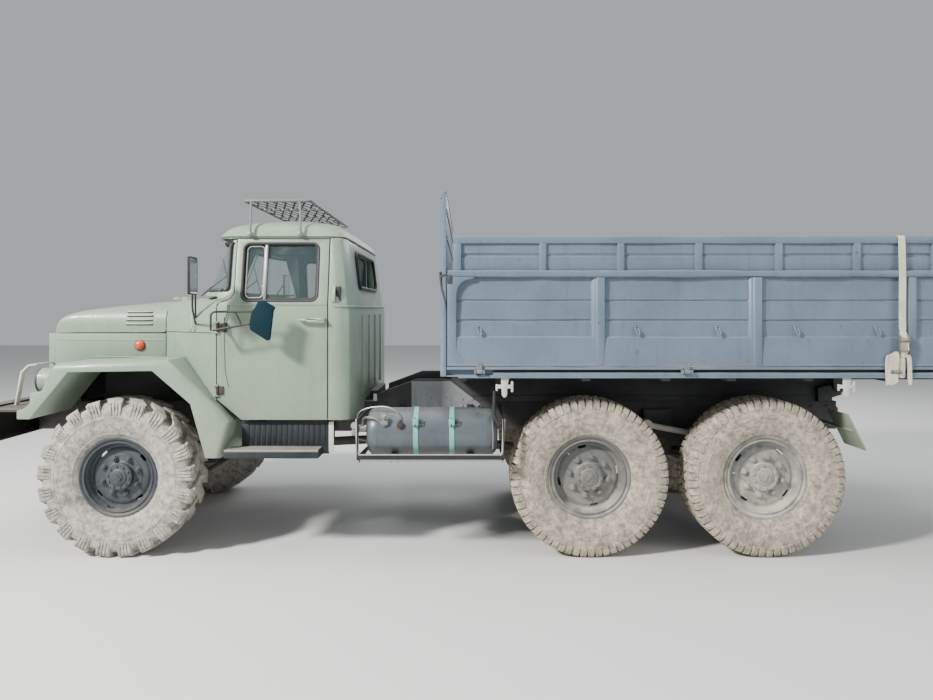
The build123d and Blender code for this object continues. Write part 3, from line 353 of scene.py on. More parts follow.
    @classmethod
    def joined(cls, name: str, pieces: Sequence[Piece]) -> Piece:
        """Joins several pieces into one."""
        cls.clear()
        for piece in pieces:
            piece.select_set(True)
        bpy.context.view_layer.objects.active = pieces[0]
        if len(pieces) > 1:
            bpy.ops.object.join()
        pieces[0].name = pieces[0].data.name = name
        return pieces[0]

    @classmethod
    def copied(cls, piece: Piece, name: str, turn: Matrix) -> Piece:
        """A copy with its own mesh, turned and moved."""
        made = piece.copy()
        made.data = piece.data.copy()
        made.name = made.data.name = name
        bpy.context.scene.collection.objects.link(made)
        made.data.transform(turn)
        return made

    @classmethod
    def mirrored(cls, piece: Piece, name: str) -> Piece:
        """The same piece on the truck's other side."""
        made = cls.copied(piece, name, Matrix.Scale(-1, 4, (0, 1, 0)))
        with cls.edit(made):
            bpy.ops.mesh.flip_normals()
        return made

    @classmethod
    def turned_over(cls, piece: Piece) -> Piece:
        """Moves a piece to the truck's other side."""
        made = cls.mirrored(piece, piece.name)
        bpy.data.objects.remove(piece)
        return made

    @classmethod
    def placed(cls, piece: Piece, move: Point, angle: float = 0.0, axis: str = "Z") -> Piece:
        """Turns a piece about an axis through the origin and moves it."""
        piece.data.transform(Matrix.Translation(move) @ Matrix.Rotation(angle, 4, axis))
        return piece

    @classmethod
    def loft(cls, name: str, sections: Sequence[Sequence[Point]], levels: int = 1, wall: float = 0.0,
            cap: bool = False, ring: bool = False) -> Piece:
        """A skin bridged through several sections.

        Args:
            name: The piece's name.
            sections: Lines of points, each with the same count.
            levels: How many times it is subdivided.
            wall: The thickness given inwards, if any.
            cap: Whether the ends are filled.
            ring: Whether each section is a closed loop.

        Returns:
            The piece.
        """
        lines = [cls.trace(f"{name}_{index}", points) for index, points in enumerate(sections)]
        for line in lines if ring else ():
            ends = (0, len(line.data.vertices) - 1)
            with cls.edit(line, lambda vertex: vertex.index in ends):
                bpy.ops.mesh.edge_face_add()
        piece = cls.joined(name, lines)
        with cls.edit(piece):
            bpy.ops.mesh.bridge_edge_loops(type="SINGLE")
            if cap:
                bpy.ops.mesh.select_all(action="DESELECT")
                bpy.ops.mesh.select_non_manifold(extend=False, use_wire=False, use_multi_face=False,
                    use_non_contiguous=False, use_verts=False)
                bpy.ops.mesh.edge_face_add()
            cls.face_out()
        cls.smooth(piece, levels)
        return cls.walled(piece, wall, -1) if wall else piece

    @classmethod
    def spun(cls, name: str, profile: Sequence[Pair], steps: int = 48, move: Point = (0, 0, 0),
            angle: float = 0.0) -> Piece:
        """A shape turned about the Y axis and then placed.

        Args:
            name: The piece's name.
            profile: Pairs of radius and place along Y.
            steps: How many steps the turn has.
            move: Where its origin goes.
            angle: How far its axis is turned about Z.

        Returns:
            The piece.
        """
        piece = cls.trace(name, [(radius, y, 0) for radius, y in profile])
        with cls.edit(piece):
            bpy.ops.mesh.spin(steps=steps, angle=math.tau, center=(0, 0, 0), axis=(0, 1, 0))
            cls.face_out(0.00005)
        return cls.placed(piece, move, angle)

    @classmethod
    def ringed(cls, piece: Piece, count: int) -> Piece:
        """Repeats a piece evenly about the Y axis."""
        with cls.edit(piece):
            bpy.ops.mesh.spin(steps=count - 1, dupli=True, angle=math.tau * (count - 1) / count,
                center=(0, 0, 0), axis=(0, 1, 0))
        return piece

    @classmethod
    def tube(cls, name: str, points: Sequence[Point], radius: float, bend: float = 0.0, sides: int = 3,
            closed: bool = False) -> Piece:
        """A round bar along a line of points.

        Args:
            name: The piece's name.
            points: The corners of the line.
            radius: The bar's radius.
            bend: How far from each corner its rounding starts.
            sides: The roundness of the bar's section.
            closed: Whether the last point joins the first.

        Returns:
            The piece.
        """
        piece = cls.trace(name, [*points, points[0]] if closed else points)
        with cls.edit(piece):
            if closed:
                bpy.ops.mesh.remove_doubles(threshold=0.0002)
            if bend > 0:
                bpy.ops.mesh.bevel(offset=bend, segments=4, affect="VERTICES", profile=0.5)
        bpy.ops.object.convert(target="CURVE")
        curve = bpy.context.object.data
        curve.dimensions = "3D"
        curve.bevel_depth = radius
        curve.bevel_resolution = sides
        curve.use_fill_caps = True
        bpy.ops.object.convert(target="MESH")
        piece = bpy.context.object
        piece.name = piece.data.name = name
        return piece

    @classmethod
    def run(cls, name: str, profile: Sequence[Pair], x0: float, x1: float, steps: int = 1,
            closed: bool = True) -> Piece:
        """A section drawn out along the truck.

        Args:
            name: The piece's name.
            profile: The section's (y, z) pairs.
            x0: Where it starts, from the front axle.
            x1: Where it ends.
            steps: How many lengths it is drawn out in.
            closed: Whether the section is a filled face.

        Returns:
            The piece.
        """
        piece = cls.trace(name, [(x0, y, z) for y, z in profile], closed)
        draw = bpy.ops.mesh.extrude_region_move if closed else bpy.ops.mesh.extrude_edges_move
        with cls.edit(piece):
            for _ in range(steps):
                draw(TRANSFORM_OT_translate={"value": ((x1 - x0) / steps, 0, 0)})
            cls.face_out()
        return piece

    @classmethod
    def refined(cls, node: str, width: float = 0.003, segments: int = 2) -> Piece:
        """A merged copy of a CAD node with rounded edges, moved back to the front axle's places."""
        made = cls.copied(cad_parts[node], f"{node}_refined", Matrix.Translation((ORIGIN_X, 0, 0)))
        made.parent = None
        made.matrix_world = Matrix.Identity(4)
        for key in [key for key in made.keys() if key.startswith("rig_")]:
            del made[key]
        made.data.materials.clear()
        with cls.edit(made):
            bpy.ops.mesh.remove_doubles(threshold=0.00008)
            bpy.ops.mesh.dissolve_limited(angle_limit=math.radians(0.4))
        return cls.bevelled(made, width, segments)

    @classmethod
    def dented(cls, piece: Piece, *waves: tuple[float, ...]) -> Piece:
        """Pushes a surface in and out by soft random fields, each a depth, a scale and a seed."""
        for depth, scale, seed in waves:
            for vertex in piece.data.vertices:
                swing = noise.noise(Vector(vertex.co) * scale + Vector((seed, seed, seed)))
                vertex.co += vertex.normal * swing * depth
        return piece

    @classmethod
    def dress(cls, name: str, pieces: Sequence[Piece], look: str, nodes: Sequence[str] = (),
            body: str = "chassis", slot: str = "", crease: float = 35.0) -> Piece:
        """Joins pieces and hands them over to the frame.

        Args:
            name: The finished piece's name.
            pieces: What it is made of.
            look: Its finish, by its name in the palette.
            nodes: The CAD nodes it stands for.
            body: The body it rides on.
            slot: Its slot, if not the finish's own. It is not used.
            crease: The angle above which an edge is drawn sharp, in degrees.

        Returns:
            The finished piece.
        """
        piece = cls.joined(name, pieces)
        cls.take(piece)
        bpy.ops.object.shade_smooth_by_angle(angle=math.radians(crease))
        piece.data.transform(Matrix.Translation((-ORIGIN_X, 0, 0)))
        piece.data.materials.clear()
        piece.data.materials.append(cls.looks[look].material)
        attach(piece, body)
        if nodes:
            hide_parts(*nodes)
        LOG.info("%s: %d faces on %s", piece.name, len(piece.data.polygons), body)
        return piece

    @classmethod
    def renewed(cls, node: str, name: str, look: str, width: float = 0.003, segments: int = 2,
            **settings: Any) -> Piece:
        """A CAD node with rounded edges, dressed as it is."""
        return cls.dress(name, [cls.refined(node, width, segments)], look, [node], **settings)

    @classmethod
    def paint_node(cls, node: str, look: str) -> None:
        """Gives a CAD node, kept as it is, its finish."""
        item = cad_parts[node]
        item.data.materials.clear()
        item.data.materials.append(cls.looks[look].material)


def rounded(y0: float, y1: float, z0: float, z1: float, radius: float, steps: int = 3) -> list[Pair]:
    """A rectangle with rounded corners, as (y, z) pairs."""
    made = []
    corners = ((y1 - radius, z1 - radius, 0), (y0 + radius, z1 - radius, 90), (y0 + radius, z0 + radius, 180),
        (y1 - radius, z0 + radius, 270))
    for y, z, start in corners:
        for step in range(steps + 1):
            angle = math.radians(start + 90 * step / steps)
            made.append((y + radius * math.cos(angle), z + radius * math.sin(angle)))
    return made


@dataclass(frozen=True)
class Finish:
    """A weathered finish: its colours, its gloss and how much dirt, rust and wear it carries.

    Attributes:
        name: The material's name.
        color: The main colour.
        second: The colour of its faded or darker patches.
        dust: The colour of the dust on it.
        rough: Its roughness.
        metal: How metallic it is.
        patch: The scale of its patches.
        dusting: How much dust lies on it.
        splash: The height below which mud splashes thicken.
        streak: How strongly rain streaks run down it.
        rust: How much rust shows through.
        grain: How deep its fine surface grain is, in metres.
        dents: How deep its soft waves are, in metres.
        coat: The clear coat's weight.
        shine: How strongly it reflects.
    """

    name: str
    color: Point
    second: Point
    dust: Point = (0.3, 0.26, 0.2)
    rough: float = 0.5
    metal: float = 0.0
    patch: float = 2.2
    dusting: float = 0.35
    splash: float = 0.9
    streak: float = 0.25
    rust: float = 0.1
    grain: float = 0.0006
    dents: float = 0.0
    coat: float = 0.0
    shine: float = 0.5

    def build(self) -> Paint:
        """Makes the material: patches, rain streaks, dust and mud, then rust on top."""
        brush = Brush(self.name)
        patches = brush.cloud(self.patch, 5, rough=0.6).step(0.38, 0.66)
        mottled = brush.cloud(34, 3).step(0.3, 0.75) * 0.35
        paint = brush.mix((patches * 0.75 + mottled).held(), self.color, self.second)
        runs = brush.cloud(3.0, 4, (7, 7, 0.45)).step(0.52, 0.72) * self.streak
        paint = brush.mix(runs.held(), paint, tuple(c * 0.55 for c in self.color))
        height = brush.along("Z").step(self.splash + 0.35, self.splash - 0.55)
        lying = brush.rising().step(0.35, 0.95)
        veil = brush.cloud(9, 6, rough=0.65).step(0.3, 0.7)
        thick = (height * 0.85 + lying * 0.8) * (veil * 0.75 + 0.25)
        dirt = (thick * self.dusting * 2.0 + veil * self.dusting * 0.22).held()
        paint = brush.mix(dirt, paint, self.dust)
        spots = brush.specks(9.0, (1, 1, 0.7)).step(0.17, 0.09) * brush.cloud(60, 4).step(0.42, 0.62)
        rusty = (spots * brush.cloud(1.6, 2).step(0.5, 0.62) * (self.rust * 4)).held()
        paint = brush.mix(rusty, paint, (0.13, 0.045, 0.018))
        rough = (dirt * 0.4 + rusty * 0.3 + patches * 0.08 + (self.rough - 0.04)).held()
        metal = (1 - dirt) * (1 - rusty) * self.metal if self.metal else 0.0
        fine = brush.cloud(210, 3) * self.grain + rusty * 0.0006 + dirt * brush.cloud(120, 3) * 0.0008
        if self.dents:
            fine = fine + brush.cloud(3.6, 2) * self.dents + brush.cloud(11, 2) * (self.dents * 0.3)
        return brush.feed(fine, Base_Color=paint, Roughness=rough, Metallic=metal, Coat_Weight=self.coat,
            Specular_IOR_Level=self.shine)


@dataclass(frozen=True)
class Rubber:
    """Tyre rubber under dried mud.

    Attributes:
        name: The material's name.
        mud: The colour of the dried mud.
        cover: How much of it the mud covers.
        blotch: How uneven the mud's tone is.
        grain: How deep its crumbs are, in metres.
        clean: The colour of the rubber beneath.
    """

    name: str
    mud: Point
    cover: float
    blotch: float = 0.38
    grain: float = 0.0022
    clean: Point = (0.028, 0.027, 0.026)

    def build(self) -> Paint:
        """Makes the material."""
        brush = Brush(self.name)
        base = brush.mix(brush.cloud(5, 4).step(0.35, 0.7), self.clean, tuple(c * 1.9 for c in self.clean))
        bare = 0.62 - self.cover * 0.4
        patch = brush.cloud(4.2, 6, rough=0.62).step(bare, bare + 0.16)
        crumbs = brush.cloud(38, 5, rough=0.7).step(0.32,
            0.62) * (self.blotch * 1.4) + (1 - self.blotch * 1.4)
        mud = ((patch * 0.72 + 0.28 * self.cover) * crumbs).held()
        tone = brush.mix(brush.cloud(16, 4).step(0.3, 0.7), self.mud,
            tuple(c * (1 - self.blotch) for c in self.mud))
        height = brush.cloud(90, 5, rough=0.7) * self.grain + mud * (self.grain * 0.5)
        return brush.feed(height, Base_Color=brush.mix(mud, base, tone), Roughness=(mud * 0.22 + 0.72).held())


@dataclass(frozen=True)
class Glass:
    """Pane or lens.

    Attributes:
        name: The material's name.
        tint: The tint of what shows through.
        clear: The share of light let through.
        dirty: How much dust it carries.
        rough: Its roughness.
    """

    name: str
    tint: Point
    clear: float
    dirty: float
    rough: float = 0.04

    def build(self) -> Paint:
        """Makes the material."""
        brush = Brush(self.name)
        film = brush.cloud(7, 6, rough=0.65).step(0.42, 0.8) * self.dirty
        return brush.feed(Base_Color=brush.mix(film, self.tint, (0.42, 0.4, 0.35)), IOR=1.5,
            Roughness=(film * 0.5 + self.rough).held(), Alpha=(film * 0.8 + (1 - self.clear)).held())


@dataclass(frozen=True)
class Weave:
    """A woven or grained covering.

    Attributes:
        name: The material's name.
        color: Its main colour.
        second: The colour between its threads or in its folds.
        pitch: How fine the weave is, in radians a metre.
        axes: Which object axes the threads follow.
        rough: Its roughness.
    """

    name: str
    color: Point
    second: Point
    pitch: float
    axes: tuple[str, str]
    rough: float = 0.85

    def build(self) -> Paint:
        """Makes the material."""
        brush = Brush(self.name)
        warp, weft = ((brush.along(axis) * self.pitch).math("SINE") for axis in self.axes)
        cloth = (warp * weft * 0.5 + 0.5).held()
        grime = brush.cloud(14, 5).step(0.35, 0.7)
        color = brush.mix((cloth * 0.35 + grime * 0.5).held(), self.color, self.second)
        height = cloth * 0.0004 + brush.cloud(60, 4) * 0.0006
        return brush.feed(height, Base_Color=color, Roughness=(grime * 0.12 + self.rough).held(),
            Sheen_Weight=0.15)


def palette() -> dict[str, Look]:
    """Builds every finish once, by the name that pieces ask for it, with its slot."""
    table = {
        "cab": ("cab_paint", Finish(
            "cab_paint", (0.214, 0.28, 0.212), (0.18, 0.237, 0.178), rough=0.42, dusting=0.17, splash=1.15,
            streak=0.22, dents=0.0016, coat=0.12)),
        "bed": ("bed_paint", Finish(
            "bed_paint", (0.116, 0.164, 0.218), (0.09, 0.13, 0.176), rough=0.46, dusting=0.2, splash=1.25,
            streak=0.3, rust=0.22, dents=0.0022, coat=0.08)),
        # Also paints the dark strips that stand for the shade in the bed's side channels.
        "chassis": ("chassis_paint", Finish(
            "chassis_paint", (0.02, 0.022, 0.024), (0.032, 0.033, 0.034), (0.2, 0.175, 0.14), rough=0.62,
            dusting=0.3, splash=0.8, streak=0.1, rust=0.2, grain=0.0012)),
        "steel": ("bare_steel", Finish(
            "worn_steel", (0.3, 0.295, 0.28), (0.2, 0.19, 0.175), rough=0.42, metal=0.8, dusting=0.25,
            rust=0.35)),
        "chrome": ("bare_steel", Finish(
            "chrome", (0.62, 0.62, 0.61), (0.5, 0.5, 0.49), rough=0.12, metal=1.0, dusting=0.05, splash=0.5,
            streak=0.05, rust=0.0, grain=0.0)),
        # Black rubber for seals, tubes, knobs and trim; the same black paints the shade in the louvres'
        # openings and the scoops' mouths.
        "rubber": ("trim_black", Finish(
            "black_rubber", (0.01, 0.01, 0.011), (0.018, 0.018, 0.019), rough=0.6, dusting=0.07, rust=0.0,
            streak=0.0)),
        "glass": ("clear_glass", Glass("clear_glass", (0.1, 0.15, 0.16), 0.84, 0.08)),
        "lens": ("clear_glass", Glass("lamp_glass", (0.75, 0.78, 0.76), 0.55, 0.35, 0.08)),
        "lamp": ("lamp_lens", Finish(
            "marker_lens", (0.62, 0.065, 0.012), (0.54, 0.05, 0.01), rough=0.25, dusting=0.05, splash=0.7,
            streak=0.0, rust=0.0, coat=0.5)),
        "seat": ("seat_cover", Weave(
            "seat_cover", (0.03, 0.029, 0.028), (0.016, 0.015, 0.015), 900.0, ("X", "Y"), 0.62)),
        "tank": ("tank_steel", Finish(
            "tank_paint", (0.056, 0.076, 0.094), (0.042, 0.058, 0.074), rough=0.4, dusting=0.13, splash=0.95,
            streak=0.3, rust=0.25, dents=0.0012, coat=0.1)),
        "teal": ("mirror_back", Finish(
            "mirror_shell", (0.002, 0.018, 0.026), (0.002, 0.015, 0.021), rough=0.7, dusting=0.0, splash=0.4,
            rust=0.0, shine=0.12)),
        "strap": ("tank_steel", Finish(
            "tank_strap", (0.115, 0.46, 0.4), (0.09, 0.38, 0.33), dusting=0.2, splash=0.85, rust=0.05)),
        "web": ("strap_web",
                Weave("strap_webbing", (0.7, 0.64, 0.49), (0.4, 0.36, 0.27), 1500.0, ("Y", "Z"))),
        "rust": ("cab_paint", Finish(
            "rusty_hinge", (0.048, 0.028, 0.018), (0.02, 0.012, 0.009), rough=0.7, dusting=0.06, patch=14,
            rust=1.2)),
        "primer": ("bare_steel", Finish(
            "primer", (0.6, 0.58, 0.53), (0.5, 0.47, 0.41), rough=0.6, dusting=0.25, splash=0.8, rust=0.3)),
        "rack": ("rack_metal", Finish(
            "rack_paint", (0.15, 0.158, 0.148), (0.1, 0.106, 0.098), dusting=0.3, rust=0.35)),
        "rail": ("bare_steel", Finish(
            "rail_paint", (0.34, 0.335, 0.31), (0.24, 0.23, 0.21), rough=0.55, dusting=0.3, splash=0.85,
            rust=0.4)),
        "plank": ("chassis_paint", Finish(
            "sill_metal", (0.01, 0.014, 0.018), (0.018, 0.023, 0.027), (0.2, 0.18, 0.15), rough=0.55,
            dusting=0.05, rust=0.15, shine=0.25)),
        "mirror": ("bare_steel", Finish(
            "mirror_face", (0.75, 0.76, 0.76), (0.72, 0.73, 0.73), rough=0.04, metal=1.0, dusting=0.06,
            splash=0.5, streak=0.0, rust=0.0, grain=0.0)),
        # A light grey painted as sunlight: the sunlit patch on the frame's side, for the plates on the rails.
        "grey": ("chassis_paint", Finish(
            "painted_sunlight_grey", (0.3, 0.31, 0.315), (0.235, 0.245, 0.25), rough=0.55, dusting=0.2, splash=0.8)),
        # Dark blue wheel paint, darkened further as painted shade: the front wheels' cast shadow is in this
        # colour.
        "wheel_front": ("wheel_paint", Finish(
            "wheel_paint", (0.012, 0.02, 0.03), (0.024, 0.034, 0.044), (0.22, 0.2, 0.16), patch=5.0,
            dusting=0.12, splash=0.75, streak=0.15, rust=0.12)),
        "wheel_middle": ("wheel_paint", Finish(
            "wheel_worn", (0.078, 0.084, 0.088), (0.022, 0.025, 0.028), (0.4, 0.38, 0.33), rough=0.42,
            patch=9.0, dusting=0.3, splash=0.8, streak=0.15)),
        "wheel_rear": ("wheel_paint", Finish(
            "wheel_dusty", (0.185, 0.19, 0.19), (0.075, 0.08, 0.082), (0.46, 0.435, 0.37), patch=8.0,
            dusting=0.5, splash=0.8, streak=0.15)),
        "tyre_front": ("tyre_rubber", Rubber("front_rubber", (0.47, 0.445, 0.39), 0.92)),
        "tyre_rear": ("tyre_rubber", Rubber("rear_rubber", (0.52, 0.455, 0.355), 0.93, 0.4, 0.0008)),
    }
    return {name: Look(recipe.build(), slot) for name, (slot, recipe) in table.items()}


@dataclass(frozen=True)
class TyrePattern:
    """One kind of tyre, modelled once at the origin with its outer side towards -Y."""

    bead: float = 0.0
    radius: float = 0.56

    def carcass(self, name: str, crown: float) -> Piece:
        """The carcass from bead to bead, with its radius under the tread blocks."""
        half = [(0.2545, 0.098), (0.27, 0.1055), (0.288, 0.1065), (0.294, 0.114), (0.312, 0.127),
            (0.316, 0.131), (0.32, 0.1305), (0.35, 0.147), (0.39, 0.1565), (0.427, 0.1592), (0.4305, 0.162),
            (0.434, 0.1595), (0.47, 0.1588), (0.5, 0.154), (crown - 0.014, 0.142), (crown - 0.004, 0.128),
            (crown, 0.07), (crown + 0.001, 0.0)]
        half = [(r + self.bead * max(0.0, 0.316 - r) / 0.0615, y) for r, y in half]
        return Shop.spun(name, [(r, -y) for r, y in half] + half[-2::-1], 96)

    def lug(self, name: str, outline: Sequence[Pair], width: float, lean: float = 0.0) -> Piece:
        """One tread block at the tyre's front.

        Args:
            name: The block's name.
            outline: Pairs of radius and place along Y.
            width: The block's length round the tyre.
            lean: How far its inner end is moved round the tyre.

        Returns:
            The block.
        """
        piece = Shop.plate(name, [(r, y, -width / 2) for r, y in outline], (0, 0, width))
        inner = sorted(abs(y) for _, y in outline)[1] + 0.001
        turn = Matrix.Rotation(-lean / self.radius, 4, "Y")
        for vertex in piece.data.vertices:
            if abs(vertex.co.y) < inner:
                vertex.co = turn @ vertex.co
        return Shop.bevelled(piece, 0.0025, 1)

    def both(self, piece: Piece, name: str, count: int) -> Piece:
        """A block repeated round the tyre on its near shoulder, and half a step on, on its far one."""
        near = Shop.ringed(piece, count)
        far = Shop.mirrored(near, name)
        return Shop.joined(name, [near, Shop.placed(far, (0, 0, 0), math.pi / count, "Y")])

    def road(self) -> Piece:
        """The rear tyre: narrow shoulder blocks and three staggered rows between them."""
        shoulder = [(0.486, -0.15), (0.489, -0.1605), (0.53, -0.1575), (0.552, -0.146), (0.559, -0.128),
            (0.5598, -0.082), (0.54, -0.08), (0.532, -0.12)]
        row = [(0.54, -0.072), (0.5599, -0.07), (0.5599, -0.032), (0.54, -0.03)]
        middle = [(0.54, -0.021), (0.56, -0.019), (0.56, 0.019), (0.54, 0.021)]
        return Shop.joined("road_tyre", [self.carcass("road_carcass", 0.549),
                self.both(self.lug("road_block", shoulder, 0.0425), "road_shoulders", 62),
                self.both(self.lug("road_row_block", row, 0.046, 0.016), "road_rows", 54),
                Shop.ringed(self.lug("road_middle_block", middle, 0.054), 54)])

    def field(self) -> Piece:
        """The front tyre: large leaning lugs that run down its shoulders in ribs."""
        long_lug = [(0.497, -0.146), (0.502, -0.16), (0.532, -0.159), (0.553, -0.15), (0.559, -0.128),
            (0.56, -0.014), (0.522, -0.012), (0.515, -0.12)]
        rib = [(0.444, -0.15), (0.45, -0.163), (0.5, -0.1655), (0.54, -0.164), (0.55, -0.15), (0.5, -0.14)]
        ribs = [Shop.placed(self.lug(f"field_rib_{index}", rib, 0.0155, 0.012), (0, 0, 0),
                (index - 1.5) * 0.046, "Y")
            for index in range(4)]
        tyre = Shop.joined("field_tyre", [self.carcass("field_carcass", 0.53),
                self.both(self.lug("field_block", long_lug, 0.096, 0.09), "field_lugs", 21),
                self.both(Shop.joined("field_rib", ribs), "field_shoulders", 21)])
        return Shop.dented(tyre, (0.0022, 26.0, 0.0))


@dataclass(frozen=True)
class RimPattern:
    """The pressed steel wheel with its hub, modelled once at the origin facing -Y."""

    nuts: int = 8
    nut_circle: float = 0.131
    cap_bolts: int = 10
    bolt_circle: float = 0.0755
    outline: tuple[Pair, ...] = ((0.276, -0.104), (0.2815, -0.11), (0.2795, -0.1145), (0.27, -0.1148),
        (0.263, -0.109), (0.2585, -0.1035), (0.2525, -0.1035), (0.2495, -0.1085), (0.2425, -0.109),
        (0.2385, -0.103), (0.237, -0.084), (0.2315, -0.078), (0.2275, -0.06), (0.219, -0.0435),
        (0.208, -0.0425), (0.196, -0.05), (0.186, -0.0535), (0.155, -0.0545), (0.152, -0.0575),
        (0.11, -0.0575), (0.104, -0.0605), (0.0975, -0.064), (0.0955, -0.092), (0.0905, -0.0985),
        (0.0605, -0.1005), (0.0585, -0.1045), (0.0525, -0.109), (0.036, -0.1105), (0.034, -0.1175),
        (0.0, -0.1185), (0.0, -0.096), (0.0403, -0.095), (0.0403, 0.04), (0.092, 0.04), (0.092, 0.03),
        (0.194, 0.03), (0.194, 0.091), (0.199, 0.0925), (0.206, 0.0905), (0.206, 0.018), (0.12, 0.018),
        (0.12, -0.04), (0.2, -0.036), (0.243, 0.002), (0.246, 0.108), (0.2535, 0.113), (0.279, 0.113),
        (0.281, 0.109), (0.276, 0.105), (0.2542, 0.1035), (0.2542, -0.1035), (0.276, -0.104))

    def build(self) -> Piece:
        """Models the wheel with its nuts, studs, slots and cap bolts."""
        steel = Shop.spun("wheel_steel", self.outline, 96)
        slots = Shop.ringed(Shop.block("wheel_slot", (0.192, -0.09, -0.028), (0.21, 0.012, 0.028), 0.006, 3),
            4)
        Shop.placed(slots, (0, 0, 0), 0.42, "Y")
        Shop.apply(steel, "BOOLEAN", operation="DIFFERENCE", object=slots, solver="EXACT")
        bpy.data.objects.remove(slots)
        studs = [self.bar("wheel_nut", 0.0195, -0.057, -0.078, self.nut_circle, 6),
            self.bar("wheel_washer", 0.0265, -0.056, -0.0625, self.nut_circle),
            self.bar("wheel_stud", 0.009, -0.07, -0.0885, self.nut_circle)]
        return Shop.joined("wheel_rim", [steel, Shop.ringed(Shop.joined("wheel_nuts", studs), self.nuts),
                Shop.ringed(self.bar("cap_bolt", 0.0085, -0.0975, -0.108, self.bolt_circle, 6),
                    self.cap_bolts),
                Shop.block("cap_key", (-0.012, -0.1245, -0.026), (0.012, -0.117, 0.026)),
                Shop.tube("wheel_valve", [(0.232, -0.06, 0.02), (0.222, -0.092, 0.02), (0.2, -0.098, 0.02)],
                    0.005, 0.01)])

    def bar(self, name: str, radius: float, start: float, end: float, reach: float, sides: int = 20) -> Piece:
        """A short bar on the wheel's face, round or with a few sides, with a chamfered end."""
        Shop.clear()
        bpy.ops.mesh.primitive_cylinder_add(vertices=sides, radius=radius, depth=abs(end - start),
            location=(reach, (start + end) / 2, 0), rotation=(math.pi / 2, 0, 0))
        return Shop.bevelled(Shop.added(name), radius * 0.14)


@dataclass(frozen=True)
class RunningGear:
    """The six wheels."""

    height: float = 0.56
    half_track: float = 0.91
    columns: dict[str, float] = field(default_factory=lambda: {"front": 0.0, "middle": 3.35, "rear": 4.6})

    def build(self) -> None:
        """Models each kind of tyre and wheel once and sets copies at all six places."""
        tyres = {"front": TyrePattern().field(), "rear": TyrePattern(0.0127).road()}
        wide = Matrix.Diagonal((1.05, 1.0, 1.05, 1.0))
        rim = RimPattern().build()
        turns = random.Random(7)
        for place, x in self.columns.items():
            kind = "front" if place == "front" else "rear"
            for side in Side:
                spin = Matrix.Rotation(turns.uniform(0, math.tau), 4, "Y")
                for source, word, look in ((tyres[kind], "tyre", f"tyre_{kind}"),
                        (rim, "rim", f"wheel_{place}")):
                    turn = spin @ wide if word == "rim" and kind == "rear" else spin
                    move = Matrix.Translation((x, -self.half_track, self.height))
                    name = f"{place}_{side.word}_{word}"
                    piece = Shop.copied(source, name, move @ turn)
                    if side is Side.RIGHT:
                        piece = Shop.turned_over(piece)
                    Shop.dress(name, [piece], look, [f"{word}_{place}_{side.word}"],
                        f"wheel_{place}_{side.word}", crease=32)
        for source in (*tyres.values(), rim):
            bpy.data.objects.remove(source)


